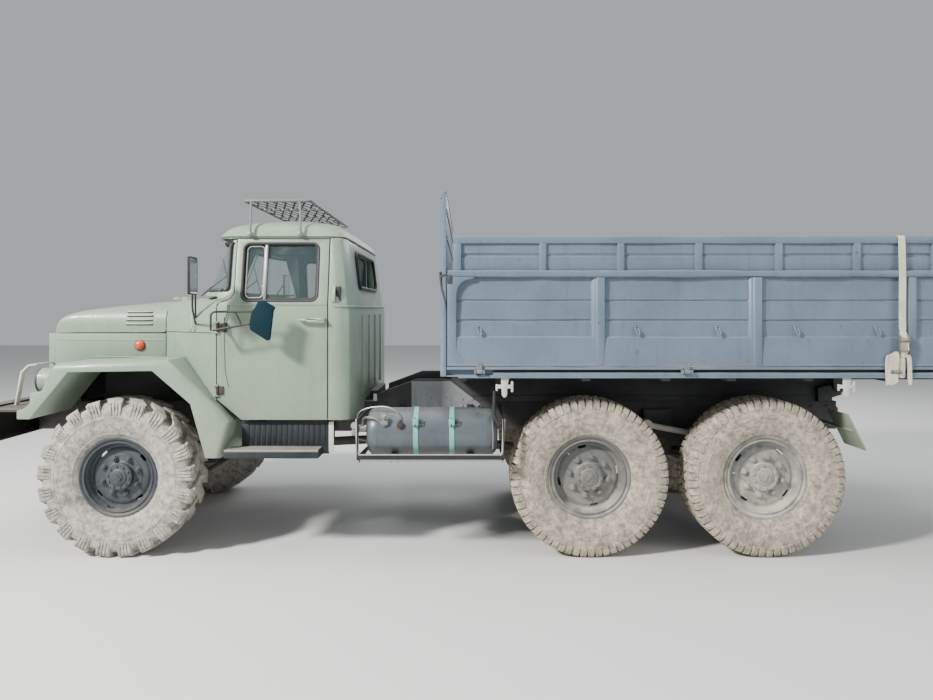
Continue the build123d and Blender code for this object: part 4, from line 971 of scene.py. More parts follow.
@dataclass(frozen=True)
class DropSide:
    """One side board: framed pressed sheet, posts, top rail, the extension above it and its fittings."""

    front: float = 2.347
    rear: float = 6.538
    low: float = 1.367
    rail_low: float = 1.972
    rail_top: float = 2.021
    top: float = 2.252
    face: float = -1.24
    posts: tuple[float, ...] = (3.388, 4.46, 5.51)
    hooks: tuple[float, ...] = (2.566, 3.643, 4.194, 4.731, 5.282, 5.92)
    hinges: tuple[float, ...] = (2.566, 3.978, 5.39, 6.33)
    stakes: tuple[float, ...] = (2.419, 2.999, 3.532, 4.064, 4.61, 5.143, 5.677, 6.19, 6.51)

    def sheet(self) -> Piece:
        """The pressed main sheet, with its grooves and dents."""
        profile = [(-1.206, self.low), (-1.233, self.low + 0.001), (-1.2335, 1.4), (-1.2275, 1.52),
            (-1.2245, 1.558), (-1.2135, 1.568), (-1.2125, 1.6), (-1.213, 1.668), (-1.206, 1.674),
            (-1.2065, 1.679), (-1.2145, 1.687), (-1.213, 1.74), (-1.212, 1.803), (-1.2055, 1.809),
            (-1.206, 1.814), (-1.214, 1.822), (-1.212, 1.89), (-1.211, 1.99)]
        piece = Shop.run("board_sheet", profile, self.front + 0.02, self.rear - 0.02, 84, False)
        return Shop.walled(Shop.dented(piece, (0.008, 2.3, 3.0), (0.0045, 7.5, 9.0), (0.002, 19.0, 1.0)),
            0.003)

    def frame_pieces(self) -> list[Piece]:
        """The rails, posts and end stiles round the sheet."""
        rail = Shop.run("board_rail", rounded(self.face - 0.006, -1.203, self.rail_low, self.rail_top, 0.013),
            self.front, self.rear, 70)
        foot = Shop.run("board_foot", rounded(self.face, -1.204, self.low, self.low + 0.012, 0.004),
            self.front, self.rear, 8)
        made = [Shop.dented(rail, (0.006, 2.6, 5.0), (0.004, 9.0, 2.0)), foot]
        for x in self.posts:
            base = [(-0.062, -1.208), (-0.04, -1.228), (-0.026, -1.23), (-0.02, self.face), (0.03, self.face),
                (0.036, -1.208)]
            made.append(Shop.plate("board_post", [(x + px, y, self.low + 0.004) for px, y in base],
                (0, 0, 0.602), 0.003))
        return [*made, self.stile(self.front, 1), self.stile(self.rear, -1)]

    def stile(self, x: float, way: int) -> Piece:
        """An end stile with its rounded corner gussets."""
        inner = [(0.06, self.low + 0.115), (0.125, self.low + 0.008), (0.0, self.low + 0.008),
            (0.0, self.rail_low + 0.004), (0.185, self.rail_low + 0.004), (0.185, 1.962), (0.135, 1.955),
            (0.098, 1.936), (0.074, 1.905), (0.063, 1.86)]
        outline = [(x + way * px, -1.2075, z) for px, z in inner]
        return Shop.plate("board_stile", outline, (0, self.face + 1.209, 0), 0.004)

    def extension(self) -> list[Piece]:
        """The raised side above the top rail."""
        start = 2.392
        profile = [(-1.209, 2.012), (-1.2125, 2.02), (-1.215, 2.075), (-1.214, 2.112), (-1.205, 2.121),
            (-1.2055, 2.127), (-1.215, 2.138), (-1.214, 2.225)]
        sheet = Shop.run("extension_sheet", profile, start + 0.01, self.rear - 0.01, 60, False)
        rail = Shop.run("extension_rail", rounded(-1.2335, -1.2035, 2.203, self.top, 0.005), start, self.rear,
            40)
        made = [Shop.walled(Shop.dented(sheet, (0.006, 3.0, 7.0), (0.0025, 11.0, 4.0)), 0.003),
            Shop.dented(rail, (0.0035, 2.8, 6.0))]
        for x in self.stakes:
            base = [(-0.027, -1.2065), (-0.024, -1.2325), (0.022, -1.2325), (0.027, -1.2065)]
            made.append(Shop.plate("extension_post", [(x + px, y, 2.014) for px, y in base], (0, 0, 0.192),
                0.003))
        return made

    def hook(self, x: float) -> Piece:
        """One rope hook: a folded drop of bar welded to the sheet."""
        line = [(-0.012, -1.214, 1.64), (-0.014, -1.228, 1.628), (-0.006, -1.238, 1.598),
            (0.008, -1.24, 1.572), (0.016, -1.237, 1.592), (0.01, -1.231, 1.614), (0.002, -1.216, 1.622)]
        return Shop.tube("rope_hook", [(x + px, y, z) for px, y, z in line], 0.0055, 0.006)

    def hinge_loops(self) -> list[Piece]:
        """The straps and eyes that turn on the bed's pins."""
        ring = [(0.0074, -0.02), (0.0135, -0.02), (0.0138, -0.018), (0.0138, 0.018), (0.0135, 0.02),
            (0.0074, 0.02), (0.0074, -0.02)]
        made = []
        for x in self.hinges:
            made += [Shop.spun("board_eye", ring, 24, (x, -1.252, 1.33), math.pi / 2),
                Shop.slab("board_leaf", (x, -1.244, 1.362), (0.02, 0.0035, 0.024))]
            made += [Shop.slab("leaf_bolt", (x + away, -1.24825, 1.371), (0.005, 0.00225, 0.005), 0.002)
                for away in (-0.01, 0.01)]
        return made

    def latches(self) -> list[Piece]:
        """The bent latch handles at the board's ends."""
        x = self.front
        lever = [(x - 0.03, -1.222, 1.985), (x - 0.052, -1.232, 2.012), (x - 0.046, -1.238, 1.96),
            (x - 0.038, -1.236, 1.9), (x - 0.012, -1.236, 1.8), (x - 0.01, -1.232, 1.74)]
        hook = [(x + 0.014, -1.236, 1.978), (x - 0.018, -1.2385, 1.992), (x - 0.052, -1.2365, 1.968)]
        return [Shop.tube("latch_lever", lever, 0.0075, 0.014), Shop.tube("latch_hook", hook, 0.007, 0.008),
            Shop.block("latch_plate", (x + 0.001, -1.2455, 1.93), (x + 0.03, -1.238, 1.99))]

    def build(self) -> None:
        """Models both boards with their fittings."""
        for side in Side:
            body = f"side_board_{side.word}"
            parts = [("panelling", [self.sheet(), *self.frame_pieces(), *self.extension()], "bed", [body]),
                ("hooks", [self.hook(x) for x in self.hooks], "bed", []),
                ("hinges", self.hinge_loops(), "steel", []), ("latch", self.latches(), "chassis", [])]
            for word, pieces, look, nodes in parts:
                piece = Shop.joined(f"board_{word}", pieces)
                if side is Side.RIGHT:
                    piece = Shop.turned_over(piece)
                Shop.dress(f"board_{side.word}_{word}", [piece], look, nodes, body)


@dataclass(frozen=True)
class TieStrap:
    """The webbing drawn over the left board, its ratchet, its folded end and its tail."""

    x: float = 5.436
    width: float = 0.047
    body: str = "side_board_left"

    def ribbon(self, name: str, line: Sequence[Pair], lean: float = 0.0, width: float = width,
            thick: float = 0.0026, shift: float = 0.0) -> Piece:
        """Webbing along a line of (y, z) pairs, leaning along X as it goes.

        Args:
            name: The piece's name.
            line: The line it follows.
            lean: How far X moves over its length.
            width: Its width.
            thick: Its thickness.
            shift: How far it is moved along X.

        Returns:
            The piece.
        """
        count = len(line) - 1
        start = self.x - width / 2 + shift
        points = [(start + lean * index / count, y, z) for index, (y, z) in enumerate(line)]
        return Shop.walled(Shop.smooth(Shop.strip(name, points, width), 2), thick)

    def webbing(self) -> list[Piece]:
        """The strap over the board, the fold at its ratchet, the loops and the loose end."""
        over = [(-1.193, 1.91), (-1.193, 2.2), (-1.1955, 2.254), (-1.215, 2.2558), (-1.238, 2.2555),
            (-1.2425, 2.235), (-1.2475, 2.05), (-1.25, 2.02), (-1.25, 1.96), (-1.2465, 1.8), (-1.2465, 1.63),
            (-1.25, 1.6)]
        fold = [(-1.2505, 1.61), (-1.262, 1.59), (-1.268, 1.52), (-1.262, 1.44), (-1.2525, 1.425)]
        lower = [(-1.252, 1.44), (-1.2515, 1.36), (-1.247, 1.3), (-1.2445, 1.287)]
        bundle = [(-1.262, 1.455), (-1.264, 1.4), (-1.2515, 1.315), (-1.2515, 1.245), (-1.2465, 1.232),
            (-1.2455, 1.27), (-1.2475, 1.35), (-1.252, 1.45)]
        tail = [(-1.26, 1.45), (-1.262, 1.4), (-1.2515, 1.31), (-1.249, 1.235)]
        loops = [self.ribbon("strap_loop", [(y - 0.0004 * index, z + 0.008 * index) for y, z in bundle], lean,
                thick=0.003, shift=shift)
            for index, (shift, lean) in enumerate(((-0.066, -0.028), (-0.058, -0.016), (-0.05, -0.005)))]
        return [self.ribbon("strap_main", over, 0.004), self.ribbon("strap_fold", fold, 0.01),
            self.ribbon("strap_lower", lower, width=0.04), *loops,
            self.ribbon("strap_tail", tail, 0.018, 0.03, shift=0.038)]

    def ratchet(self) -> list[Piece]:
        """The ratchet's cheeks, spool and grip."""
        x = self.x
        cheek = [(-1.251, 1.59), (-1.286, 1.575), (-1.288, 1.53), (-1.27, 1.455), (-1.251, 1.45)]
        grip = [(x - 0.029, -1.268, 1.56), (x - 0.026, -1.283, 1.472), (x + 0.026, -1.283, 1.472),
            (x + 0.029, -1.268, 1.56)]
        cheeks = [Shop.plate("ratchet_cheek", [(x + offset, y, z) for y, z in cheek], (0.004, 0, 0), 0.001)
            for offset in (-0.031, 0.027)]
        return [*cheeks,
            Shop.tube("ratchet_spool", [(x - 0.036, -1.274, 1.545), (x + 0.036, -1.274, 1.545)], 0.011),
            Shop.tube("ratchet_grip", grip, 0.006, 0.012)]

    def build(self) -> None:
        """Models the strap."""
        Shop.dress("strap_webbing", self.webbing(), "web", ["tie_strap"], self.body, crease=50)
        Shop.dress("strap_ratchet", self.ratchet(), "steel", body=self.body)


@dataclass(frozen=True)
class Bed:
    """The tipping bed around its boards: deck, frame, headboard and tailgate."""

    headboard_ribs: tuple[float, ...] = (1.55, 1.78, 2.01, 2.24, 2.42)
    gate_ribs: tuple[float, ...] = (1.5, 1.64, 1.78, 1.9)
    pivots: tuple[float, ...] = (2.742, 5.08)

    def edge(self, name: str, section: tuple[float, ...], x0: float, x1: float,
            steps: int = 1) -> list[Piece]:
        """A bar along both sides of the bed, from its rounded section on the right."""
        return [Shop.run(name, [(side.value * y, z) for y, z in rounded(*section)], x0, x1, steps)
            for side in Side]

    def deck(self) -> None:
        """The deck with its side channels, lower lips and curbs, and dark strips painted as the shade inside
        the channels.
        """
        floor = Shop.refined("bed_floor")
        lips = (self.edge("deck_lip", (1.196, 1.238, 1.284, 1.2955, 0.004), 2.42, 6.5, 30)
            + self.edge("deck_curb", (1.229, 1.2368, 1.296, 1.3225, 0.002), 2.66, 6.49, 30))
        lips = [Shop.dented(lip, (0.002, 6.0, 0.0)) for lip in lips]
        # Dark strips in chassis paint over the side channels' webs: painted shade in the recess.
        shades = self.edge("sill_painted_shade", (1.2025, 1.2045, 1.3035, 1.3545, 0.0008), 2.66, 6.49)
        Shop.dress("deck_plate", [floor, *lips], "bed", ["bed_floor"], "bed")
        Shop.dress("sill_painted_shades", shades, "chassis", body="bed")
        Shop.renewed("bed_sills", "deck_sills", "bed", body="bed")
        Shop.renewed("bed_frame", "bed_longitudinals", "chassis", body="bed")

    def walls(self) -> None:
        """The headboard with pressed ribs and a cap, and the tailgate with its ribs."""
        ribs = [Shop.run("wall_rib", rounded(-1.19, 1.19, z, z + 0.03, 0.01), 2.338, 2.3455)
            for z in self.headboard_ribs]
        cap = Shop.run("wall_cap", rounded(-1.238, 1.238, 2.548, 2.5585, 0.004), 2.299, 2.343)
        Shop.dress("headboard_wall", [Shop.refined("headboard", 0.004), *ribs, cap], "bed", ["headboard"],
            "bed")
        ribs = [Shop.block("gate_rib", (6.5605, -1.09, z), (6.572, 1.09, z + 0.03), 0.005, 3)
            for z in self.gate_ribs]
        Shop.dress("tailgate_wall", [Shop.refined("tailgate", 0.004), *ribs], "bed", ["tailgate"], "tailgate")

    def brackets(self) -> None:
        """The primed pivot brackets seen under the bed's edge."""
        made = []
        outline = [(-0.03, 1.292), (-0.024, 1.205), (-0.022, 1.168), (-0.012, 1.152), (0.004, 1.152),
            (0.014, 1.166), (0.014, 1.205), (0.026, 1.292)]
        bars = [("tie_bar", -0.06, 0.052, 1.212, 1.238, 0.004),
                ("tie_prong", 0.04, 0.056, 1.188, 1.262, 0.005),
                ("tie_stub", -0.064, -0.05, 1.196, 1.242, 0.005)]
        for side in Side:
            y, way = side.value * 1.205, side.value
            for x in self.pivots:
                made.append(Shop.plate("tie_tongue", [(x + px, y, z) for px, z in outline],
                    (0, way * 0.016, 0), 0.003))
                made += [Shop.block(name, (x + x0, y, z0), (x + x1, y + way * 0.015, z1), bevel)
                    for name, x0, x1, z0, z1, bevel in bars]
                pin = [(x - 0.004, y - way * 0.002, 1.172), (x - 0.004, y + way * 0.026, 1.172)]
                made.append(Shop.tube("tie_pin", pin, 0.01, 0, 4))
        Shop.dress("tie_brackets", made, "primer", body="bed")

    def build(self) -> None:
        """Models the bed."""
        self.deck()
        self.walls()
        self.brackets()
        Shop.paint_node("hoist_cylinder", "chassis")
        Shop.paint_node("hoist_rod", "steel")


BELT = 1.79
GUTTER = 2.268
LEAN = (1.05 - 0.955) / (GUTTER - BELT)
SILL = [(0.874, -1.05), (0.7, -1.034), (0.588, -0.965), (0.522, -0.8), (0.498, -0.5)]
HEADER = [(0.874, -0.955), (0.812, -0.945), (0.742, -0.89), (0.7, -0.74), (0.684, -0.48)]


def wall_y(z: float, out: float = 0.0) -> float:
    """Where the cab's left side is at a height, and further out by a distance."""
    return -1.05 + LEAN * max(0.0, z - BELT) - out


def screen_line(z: float, out: float, end: float) -> list[Point]:
    """The wrap-round screen's line across the truck at one height.

    Args:
        z: The height.
        out: How far it lies outside the glass frame.
        end: Where its rear ends are, along X.

    Returns:
        Points from the left end round the front to the right end.
    """
    share = (z - BELT) / (GUTTER - BELT)
    half = [(a[0] + (b[0] - a[0]) * share - out * push, a[1] + (b[1] - a[1]) * share - out * (1 - push), z)
        for a, b, push in zip(SILL, HEADER, (0.0, 0.1, 0.6, 0.9, 1.0))]
    half[0] = (end, *half[0][1:])
    return half + [(x, -y, z) for x, y, z in reversed(half)]


def loop_round(x0: float, x1: float, z0: float, z1: float, out: float) -> list[Point]:
    """A rectangle's corners on the cab's leaning side."""
    return [(x, wall_y(z, out), z) for x, z in ((x0, z0), (x1, z0), (x1, z1), (x0, z1))]


@dataclass(frozen=True)
class Doors:
    """Both doors with their seals, vent panes, handles and hinges."""

    window: tuple[float, float, float, float] = (0.887, 1.42, 1.815, 2.225)
    divider: float = 1.047
    handle: Pair = (1.306, 1.679)
    hinges: Pair = (1.181, 1.626)

    def seals(self) -> list[Piece]:
        """The window's rubber seal and the channel that its pane slides in."""
        x0, x1, z0, z1 = self.window
        seal = loop_round(x0 - 0.002, x1 + 0.002, z0 - 0.002, z1 + 0.002, -0.006)
        channel = loop_round(x0 + 0.012, x1 - 0.012, z0 + 0.012, z1 - 0.012, -0.022)
        return [Shop.tube("door_seal", seal, 0.011, 0.045, closed=True),
            Shop.tube("door_channel", channel, 0.008, 0.04, 2, True)]

    def vent(self) -> list[Piece]:
        """The bright bar behind the vent pane and the pane's frame and catch."""
        x0, _, z0, z1 = self.window
        bar = loop_round(self.divider - 0.011, self.divider + 0.011, z0, z1, -0.004)
        rim = loop_round(x0 + 0.022, self.divider - 0.014, z0 + 0.02, z1 - 0.02, -0.014)
        y = wall_y(1.9)
        return [Shop.plate("vent_bar", bar, (0, 0.022, 0), 0.004),
            Shop.tube("vent_rim", rim, 0.006, 0.03, 2, True), Shop.block("vent_catch",
                (self.divider - 0.03, y + 0.024, 1.9), (self.divider - 0.008, y + 0.042, 1.925))]

    def lever(self) -> list[Piece]:
        """The chromed door handle."""
        x, z = self.handle
        rings = ((-0.018, 0.004, -1.079, 0.004), (0.01, 0.011, -1.082, 0.01), (0.07, 0.0155, -1.085, 0.0135),
            (0.12, 0.0165, -1.085, 0.0145), (0.146, 0.013, -1.08, 0.013), (0.153, 0.011, -1.072, 0.012))
        sections = [[(x + px, y + half_y * math.cos(math.tau * step / 8),
                    z + half_z * math.sin(math.tau * step / 8))
                for step in range(8)]
            for px, half_z, y, half_y in rings]
        return [Shop.loft("handle_grip", sections, cap=True, ring=True),
            Shop.block("handle_boss", (x + 0.13, -1.077, z - 0.019), (x + 0.176, -1.05, z + 0.019), 0.008, 3),
            Shop.tube("handle_lock", [(x + 0.155, -1.075, z), (x + 0.155, -1.086, z)], 0.011),
            Shop.block("handle_foot", (x - 0.004, -1.078, z - 0.012), (x + 0.024, -1.05, z + 0.012), 0.005,
                3)]

    def knuckles(self) -> list[Piece]:
        """The weathered barrels and leaves of the hinges."""
        made = []
        for z in self.hinges:
            barrel = [(0.722, -1.058, z - 0.0298), (0.722, -1.058, z + 0.0298)]
            made += [Shop.tube("hinge_barrel", barrel, 0.0105, 0, 5),
                Shop.block("hinge_leaf", (0.722, -1.0605, z - 0.0298), (0.764, -1.0485, z + 0.0298), 0.004)]
        return made

    def panel(self) -> list[Piece]:
        """The door's shell with its pressed border and its belt crease, its trim, crank and pull."""
        crease = [(0.795, -1.0515, 1.21), (0.772, -1.0515, 1.3), (0.764, -1.0515, 1.48),
            (0.766, -1.0515, 1.7)]
        crank = [(1.15, -0.992, 1.55), (1.15, -0.972, 1.55), (1.24, -0.965, 1.52), (1.24, -0.945, 1.52)]
        pull = [(0.93, -0.993, 1.62), (0.93, -0.96, 1.62), (1.07, -0.96, 1.62), (1.07, -0.993, 1.62)]
        return [Shop.refined("door_left", 0.006, 3), Shop.tube("door_crease", crease, 0.0045, 0.05),
            Shop.run("door_belt", rounded(-1.0535, -1.046, 1.783, 1.795, 0.0035), 0.792, 1.488),
            Shop.run("door_trim", rounded(-1.0, -0.992, 1.05, 1.76, 0.004), 0.8, 1.47),
            Shop.tube("window_crank", crank, 0.008, 0.01), Shop.tube("door_pull", pull, 0.009, 0.02)]

    def build(self) -> None:
        """Models the left door's pieces and mirrors them for the right one."""
        for word, pieces, look in (("panel", self.panel(), "cab"), ("seals", self.seals(), "rubber"),
                ("vent", self.vent(), "steel"), ("handle", self.lever(), "chrome"),
                ("hinge", self.knuckles(), "rust")):
            left = Shop.joined(f"door_left_{word}", pieces)
            for side, piece in zip(Side, (left, Shop.mirrored(left, f"door_right_{word}"))):
                body = f"door_{side.word}"
                Shop.dress(f"{body}_{word}", [piece], look, [body] if word == "panel" else [], body)
        for side in Side:
            Shop.paint_node(f"door_glass_{side.word}", "glass")


@dataclass(frozen=True)
class Hood:
    """The rounded hood with its louvres, and the side panels and nose below it.

    Attributes:
        seam: The height of its lower edge.
        crown: The height of its top at the cowl.
        stations: Where its arches stand along the truck, with their tops.
        arch: The (y, z) pairs of the arch at the cowl's left half.
        louvres: Each louvre's height, length and side along Y.
    """

    seam: float = 1.579
    crown: float = 1.836
    stations: tuple[Pair, ...] = ((-0.656, 1.584), (-0.654, 1.606), (-0.648, 1.64), (-0.63, 1.678),
        (-0.59, 1.713), (-0.53, 1.739), (-0.45, 1.757), (-0.32, 1.778), (-0.15, 1.8), (0.03, 1.82),
        (0.15, 1.833), (0.186, 1.836))
    arch: tuple[Pair, ...] = ((-0.6385, 1.579), (-0.6395, 1.6), (-0.6395, 1.65), (-0.634, 1.695),
        (-0.617, 1.731), (-0.585, 1.76), (-0.53, 1.785), (-0.45, 1.806), (-0.34, 1.821), (-0.2, 1.8305),
        (-0.07, 1.836))
    louvres: tuple[Point, ...] = ((1.732, 0.196, -0.6185), (1.704, 0.209, -0.6325), (1.672, 0.206, -0.6385),
        (1.64, 0.209, -0.641))

    def section(self, x: float, top: float) -> list[Point]:
        """The hood's arch at one place along the truck."""
        limit = (top - self.seam) ** -8 - (self.crown - self.seam) ** -8
        narrow = 1.0 - 0.016 * max(0.0, (-0.52 - x) / 0.136) ** 2
        rises = [(y * narrow, z - self.seam) for y, z in self.arch]
        half = [(x, y, self.seam + ((rise ** -8 + limit) ** -0.125 if rise > 0 else 0.0))
            for y, rise in rises]
        return half + [(x, -y, z) for x, y, z in reversed(half)]

    def louvre(self, z: float, length: float, y: float) -> tuple[Piece, Piece]:
        """One louvre's lip and the black block under it, painted as the shade in the louvre's opening."""
        x0, x1 = -0.117, -0.117 + length
        lip = Shop.loft("louvre_lip",
            [[(x0 + 0.004, y + 0.004, z + 0.014), (x0 + 0.016, y - 0.001, z + 0.01),
                    (x1 - 0.016, y - 0.001, z + 0.01), (x1 - 0.004, y + 0.004, z + 0.014)],
                [(x0, y, z + 0.004), (x0 + 0.014, y - 0.0065, z + 0.001), (x1 - 0.014, y - 0.0065, z + 0.001),
                    (x1, y, z + 0.004)]], 1, 0.002)
        # The black block under the lip is painted shade in the louvre's opening.
        low, high = (x0 + 0.004, y - 0.0028, z - 0.0065), (x1 - 0.004, y + 0.01, z + 0.003)
        return lip, Shop.block("louvre_shade", low, high, 0.0022)

    def lid(self) -> None:
        """The lid with its hinges and louvres."""
        skin = Shop.loft("hood_skin", [self.section(x, top) for x, top in self.stations], 2, 0.0035)
        parts, slots = [Shop.dented(skin, (0.0018, 2.4, 0.0))], []
        for y in (-0.29, 0.29):
            parts += [Shop.block("hood_strap", (0.11, y - 0.018, 1.8235), (0.197, y + 0.018, 1.8485)),
                Shop.tube("hood_eye", [(0.201, y - 0.0195, 1.847), (0.201, y + 0.0195, 1.847)], 0.0098, 0, 4)]
        for louvre in self.louvres:
            lip, slot = self.louvre(*louvre)
            parts += [lip, Shop.mirrored(lip, "louvre_lip_right")]
            slots += [slot, Shop.mirrored(slot, "louvre_shade_right")]
        Shop.dress("hood_lid", parts, "cab", ["hood"], "hood", crease=40)
        # The black blocks under the louvre lips: painted shade in their openings.
        Shop.dress("hood_louvre_shades", slots, "rubber", body="hood")

    def build(self) -> None:
        """Models the lid, the panels under it with their creases, and the nose with its ribs."""
        self.lid()
        creases = [Shop.tube("panel_crease", [(x0, y, z + 0.004), (x0 + 0.14, y, z), (0.176, y, z)], 0.0035,
                0.02)
            for y in (-0.6402, 0.6402) for z, x0 in ((1.522, -0.64), (1.392, -0.36))]
        Shop.dress("hood_side_panels", [Shop.refined("hood_sides", 0.004), *creases], "cab", ["hood_sides"])
        bars = [Shop.block("nose_rib", (-0.7085, -0.6, z), (-0.698, 0.6, z + 0.018), 0.005, 3)
                for z in (1.098, 1.536)]
        Shop.dress("nose_shell", [Shop.refined("grille", 0.01, 3), *bars], "cab", ["grille"])


@dataclass(frozen=True)
class CabShell:
    """The cab's fixed shell: cowl, screen, roof, back wall and fenders.

    Attributes:
        lip: The corners of the fenders' openings, seen from the side.
        rings: The roof's outlines, as height, inset and corner radius.
    """

    lip: tuple[Pair, ...] = ((-0.378, 1.378), (0.399, 1.405), (0.514, 1.29), (0.742, 1.078), (0.833, 0.972),
        (0.77, 0.718))
    rings: tuple[Point, ...] = ((2.269, 0.01, 0.15), (2.2695, 0.001, 0.155), (2.279, 0.0, 0.155),
        (2.2805, 0.004, 0.155), (2.273, 0.009, 0.155), (2.2745, 0.013, 0.155), (2.305, 0.019, 0.16),
        (2.334, 0.036, 0.18), (2.36, 0.066, 0.2), (2.381, 0.112, 0.22), (2.4, 0.18, 0.24),
        (2.416, 0.27, 0.23), (2.43, 0.37, 0.2), (2.437, 0.44, 0.06))

    def roof(self) -> None:
        """The domed roof with its gutter."""
        sections = []
        for z, inset, corner in self.rings:
            x0, x1, half = 0.666 + inset, 1.612 - inset * 0.85, 0.975 - inset
            corner = min(corner, (x1 - x0) / 2.2)
            sections.append([(x, y, z) for x, y in rounded(x0, x1, -half, half, corner, 6)])
        dome = Shop.loft("roof_dome", sections, ring=True)
        highest = max(vertex.co.z for vertex in dome.data.vertices)
        with Shop.edit(dome, lambda vertex: vertex.co.z > highest - 0.0004):
            bpy.ops.mesh.edge_face_add()
        Shop.dress("roof_dome", [Shop.walled(dome, 0.01, -1)], "cab", ["cab_roof"], crease=45)

    def screen(self) -> None:
        """The screen's surround, its rubber, its centre bar and the wipers."""
        Shop.renewed("windshield_frame", "screen_surround", "cab", 0.004)
        low, high = screen_line(1.888, -0.004, 0.788), screen_line(2.232, -0.004, 0.788)
        made = [Shop.tube("screen_seal", [*low, *reversed(high)], 0.0135, 0.035, closed=True),
            Shop.tube("screen_bar", [(0.512, 0, 1.9), (0.676, 0, 2.225)], 0.012)]
        turn = (Matrix.Rotation(math.radians(-22), 4, "Y") @ Matrix.Rotation(math.radians(62), 4, "X")
            @ Matrix.Rotation(math.radians(90), 4, "Z"))
        for y in (-0.62, 0.24):
            arm = [(0.452, y, 1.856), (0.475, y + 0.06, 1.9), (0.545, y + 0.3, 2.02)]
            blade = Shop.slab("wiper_blade", (0, 0, 0), (0.18, 0.004, 0.008))
            blade.data.transform(Matrix.Translation((0.548, y + 0.3, 2.02)) @ turn)
            made += [Shop.tube("wiper_arm", arm, 0.005, 0.02), blade]
        Shop.dress("screen_rubber", made, "rubber")
        Shop.paint_node("cab_glass", "glass")

    def cowl(self) -> None:
        """The cowl, its seams and bolts."""
        Shop.renewed("cowl", "cowl_shell", "cab", 0.005, 3)
        seams, bolts = [], []
        for side in (-1, 1):
            back = [(1.499, side * 1.0462, 0.99), (1.499, side * 1.0462, 1.78), (1.499, side * 0.956, 2.262)]
            seams += [Shop.tube("cowl_seam", [(0.196, side * 0.6425, 1.586), (0.708, side * 1.0495, 1.586)],
                    0.0028),
                Shop.tube("cab_back_seam", back, 0.003)]
            for x in (0.452, 0.494):
                y = 0.64 + (x - 0.193) / 0.516 * 0.41
                line = [(x, side * (y - 0.004), 1.604), (x - 0.004, side * (y + 0.007), 1.604)]
                bolts.append(Shop.tube("cowl_bolt", line, 0.0095))
        Shop.dress("cowl_seams", seams, "rubber")
        Shop.dress("cowl_bolts", bolts, "cab")

    def back(self) -> None:
        """The back wall, its ribs, ledge, rear window rubber and side scoops, with black blocks painted as
        the shade in the scoops' mouths.
        """
        wall = Shop.refined("cab_back_wall", 0.007, 3)
        ribs = [Shop.block("back_rib", (1.666, y - 0.016, 1.1), (1.6835, y + 0.016, 1.715), 0.007, 3)
            for y in (-0.58, -0.19, 0.19, 0.58)]
        shade_blocks = []
        for side in (-1, 1):
            sections = []
            for z, reach in ((1.8, 0.004), (1.812, 0.026), (1.86, 0.033), (1.91, 0.026), (1.925, 0.004)):
                line = ((1.518, -0.006), (1.528, reach * 0.7), (1.547, reach), (1.553, reach),
                    (1.553, -0.004))
                sections.append([(x, side * (out - wall_y(z)), z) for x, out in line])
            ribs.append(Shop.loft("side_scoop", sections, 2, 0.003))
            # A black block at each scoop's open end: painted shade in its mouth.
            middle = -wall_y(1.862)
            shade_blocks.append(Shop.block("scoop_painted_shade", (1.5535, side * (middle - 0.03), 1.808),
                (1.588, side * (middle + 0.0035), 1.916)))
        half = [(1.545, -1.052, 1.775), (1.593, -1.051, 1.775), (1.65, -1.021, 1.775), (1.677, -0.95, 1.775)]
        ledge = Shop.tube("back_ledge", half + [(x, -y, z) for x, y, z in reversed(half)], 0.006, 0.02)
        Shop.dress("cab_back", [wall, *ribs, ledge], "cab", ["cab_back_wall"])
        # Painted shade in the scoops' mouths.
        Shop.dress("scoop_painted_shades", shade_blocks, "rubber")
        loop = [(1.645 - (z - 1.93) * 0.118, y, z)
            for y, z in ((-0.53, 1.922), (0.53, 1.922), (0.53, 2.198), (-0.53, 2.198))]
        Shop.dress("rear_window_rubber", [Shop.tube("rear_rubber", loop, 0.014, 0.06, closed=True)], "rubber")

    def fenders(self) -> None:
        """The front fenders with their broad rolled lips."""
        made = Shop.refined("front_fenders", 0.0)
        vertices = made.data.vertices

        def on_lip(edge: bpy.types.MeshEdge) -> bool:
            """Whether an edge lies on a fender's outer opening."""
            ends = [vertices[index].co for index in edge.vertices]
            return all(min(math.dist((end.x, end.z), corner) for corner in self.lip) < 0.002
                and abs(abs(end.y) - 1.14) < 0.001 for end in ends)

        with Shop.edit(made, on_lip, "edges"):
            bpy.ops.mesh.bevel(offset=0.042, segments=6, affect="EDGES")
        Shop.bevelled(made, 0.006, 3, 40)
        Shop.dress("front_fender_skins", [made], "cab", ["front_fenders"], crease=40)

    def build(self) -> None:
        """Models the fixed shell."""
        self.roof()
        self.screen()
        self.cowl()
        self.back()
        self.fenders()


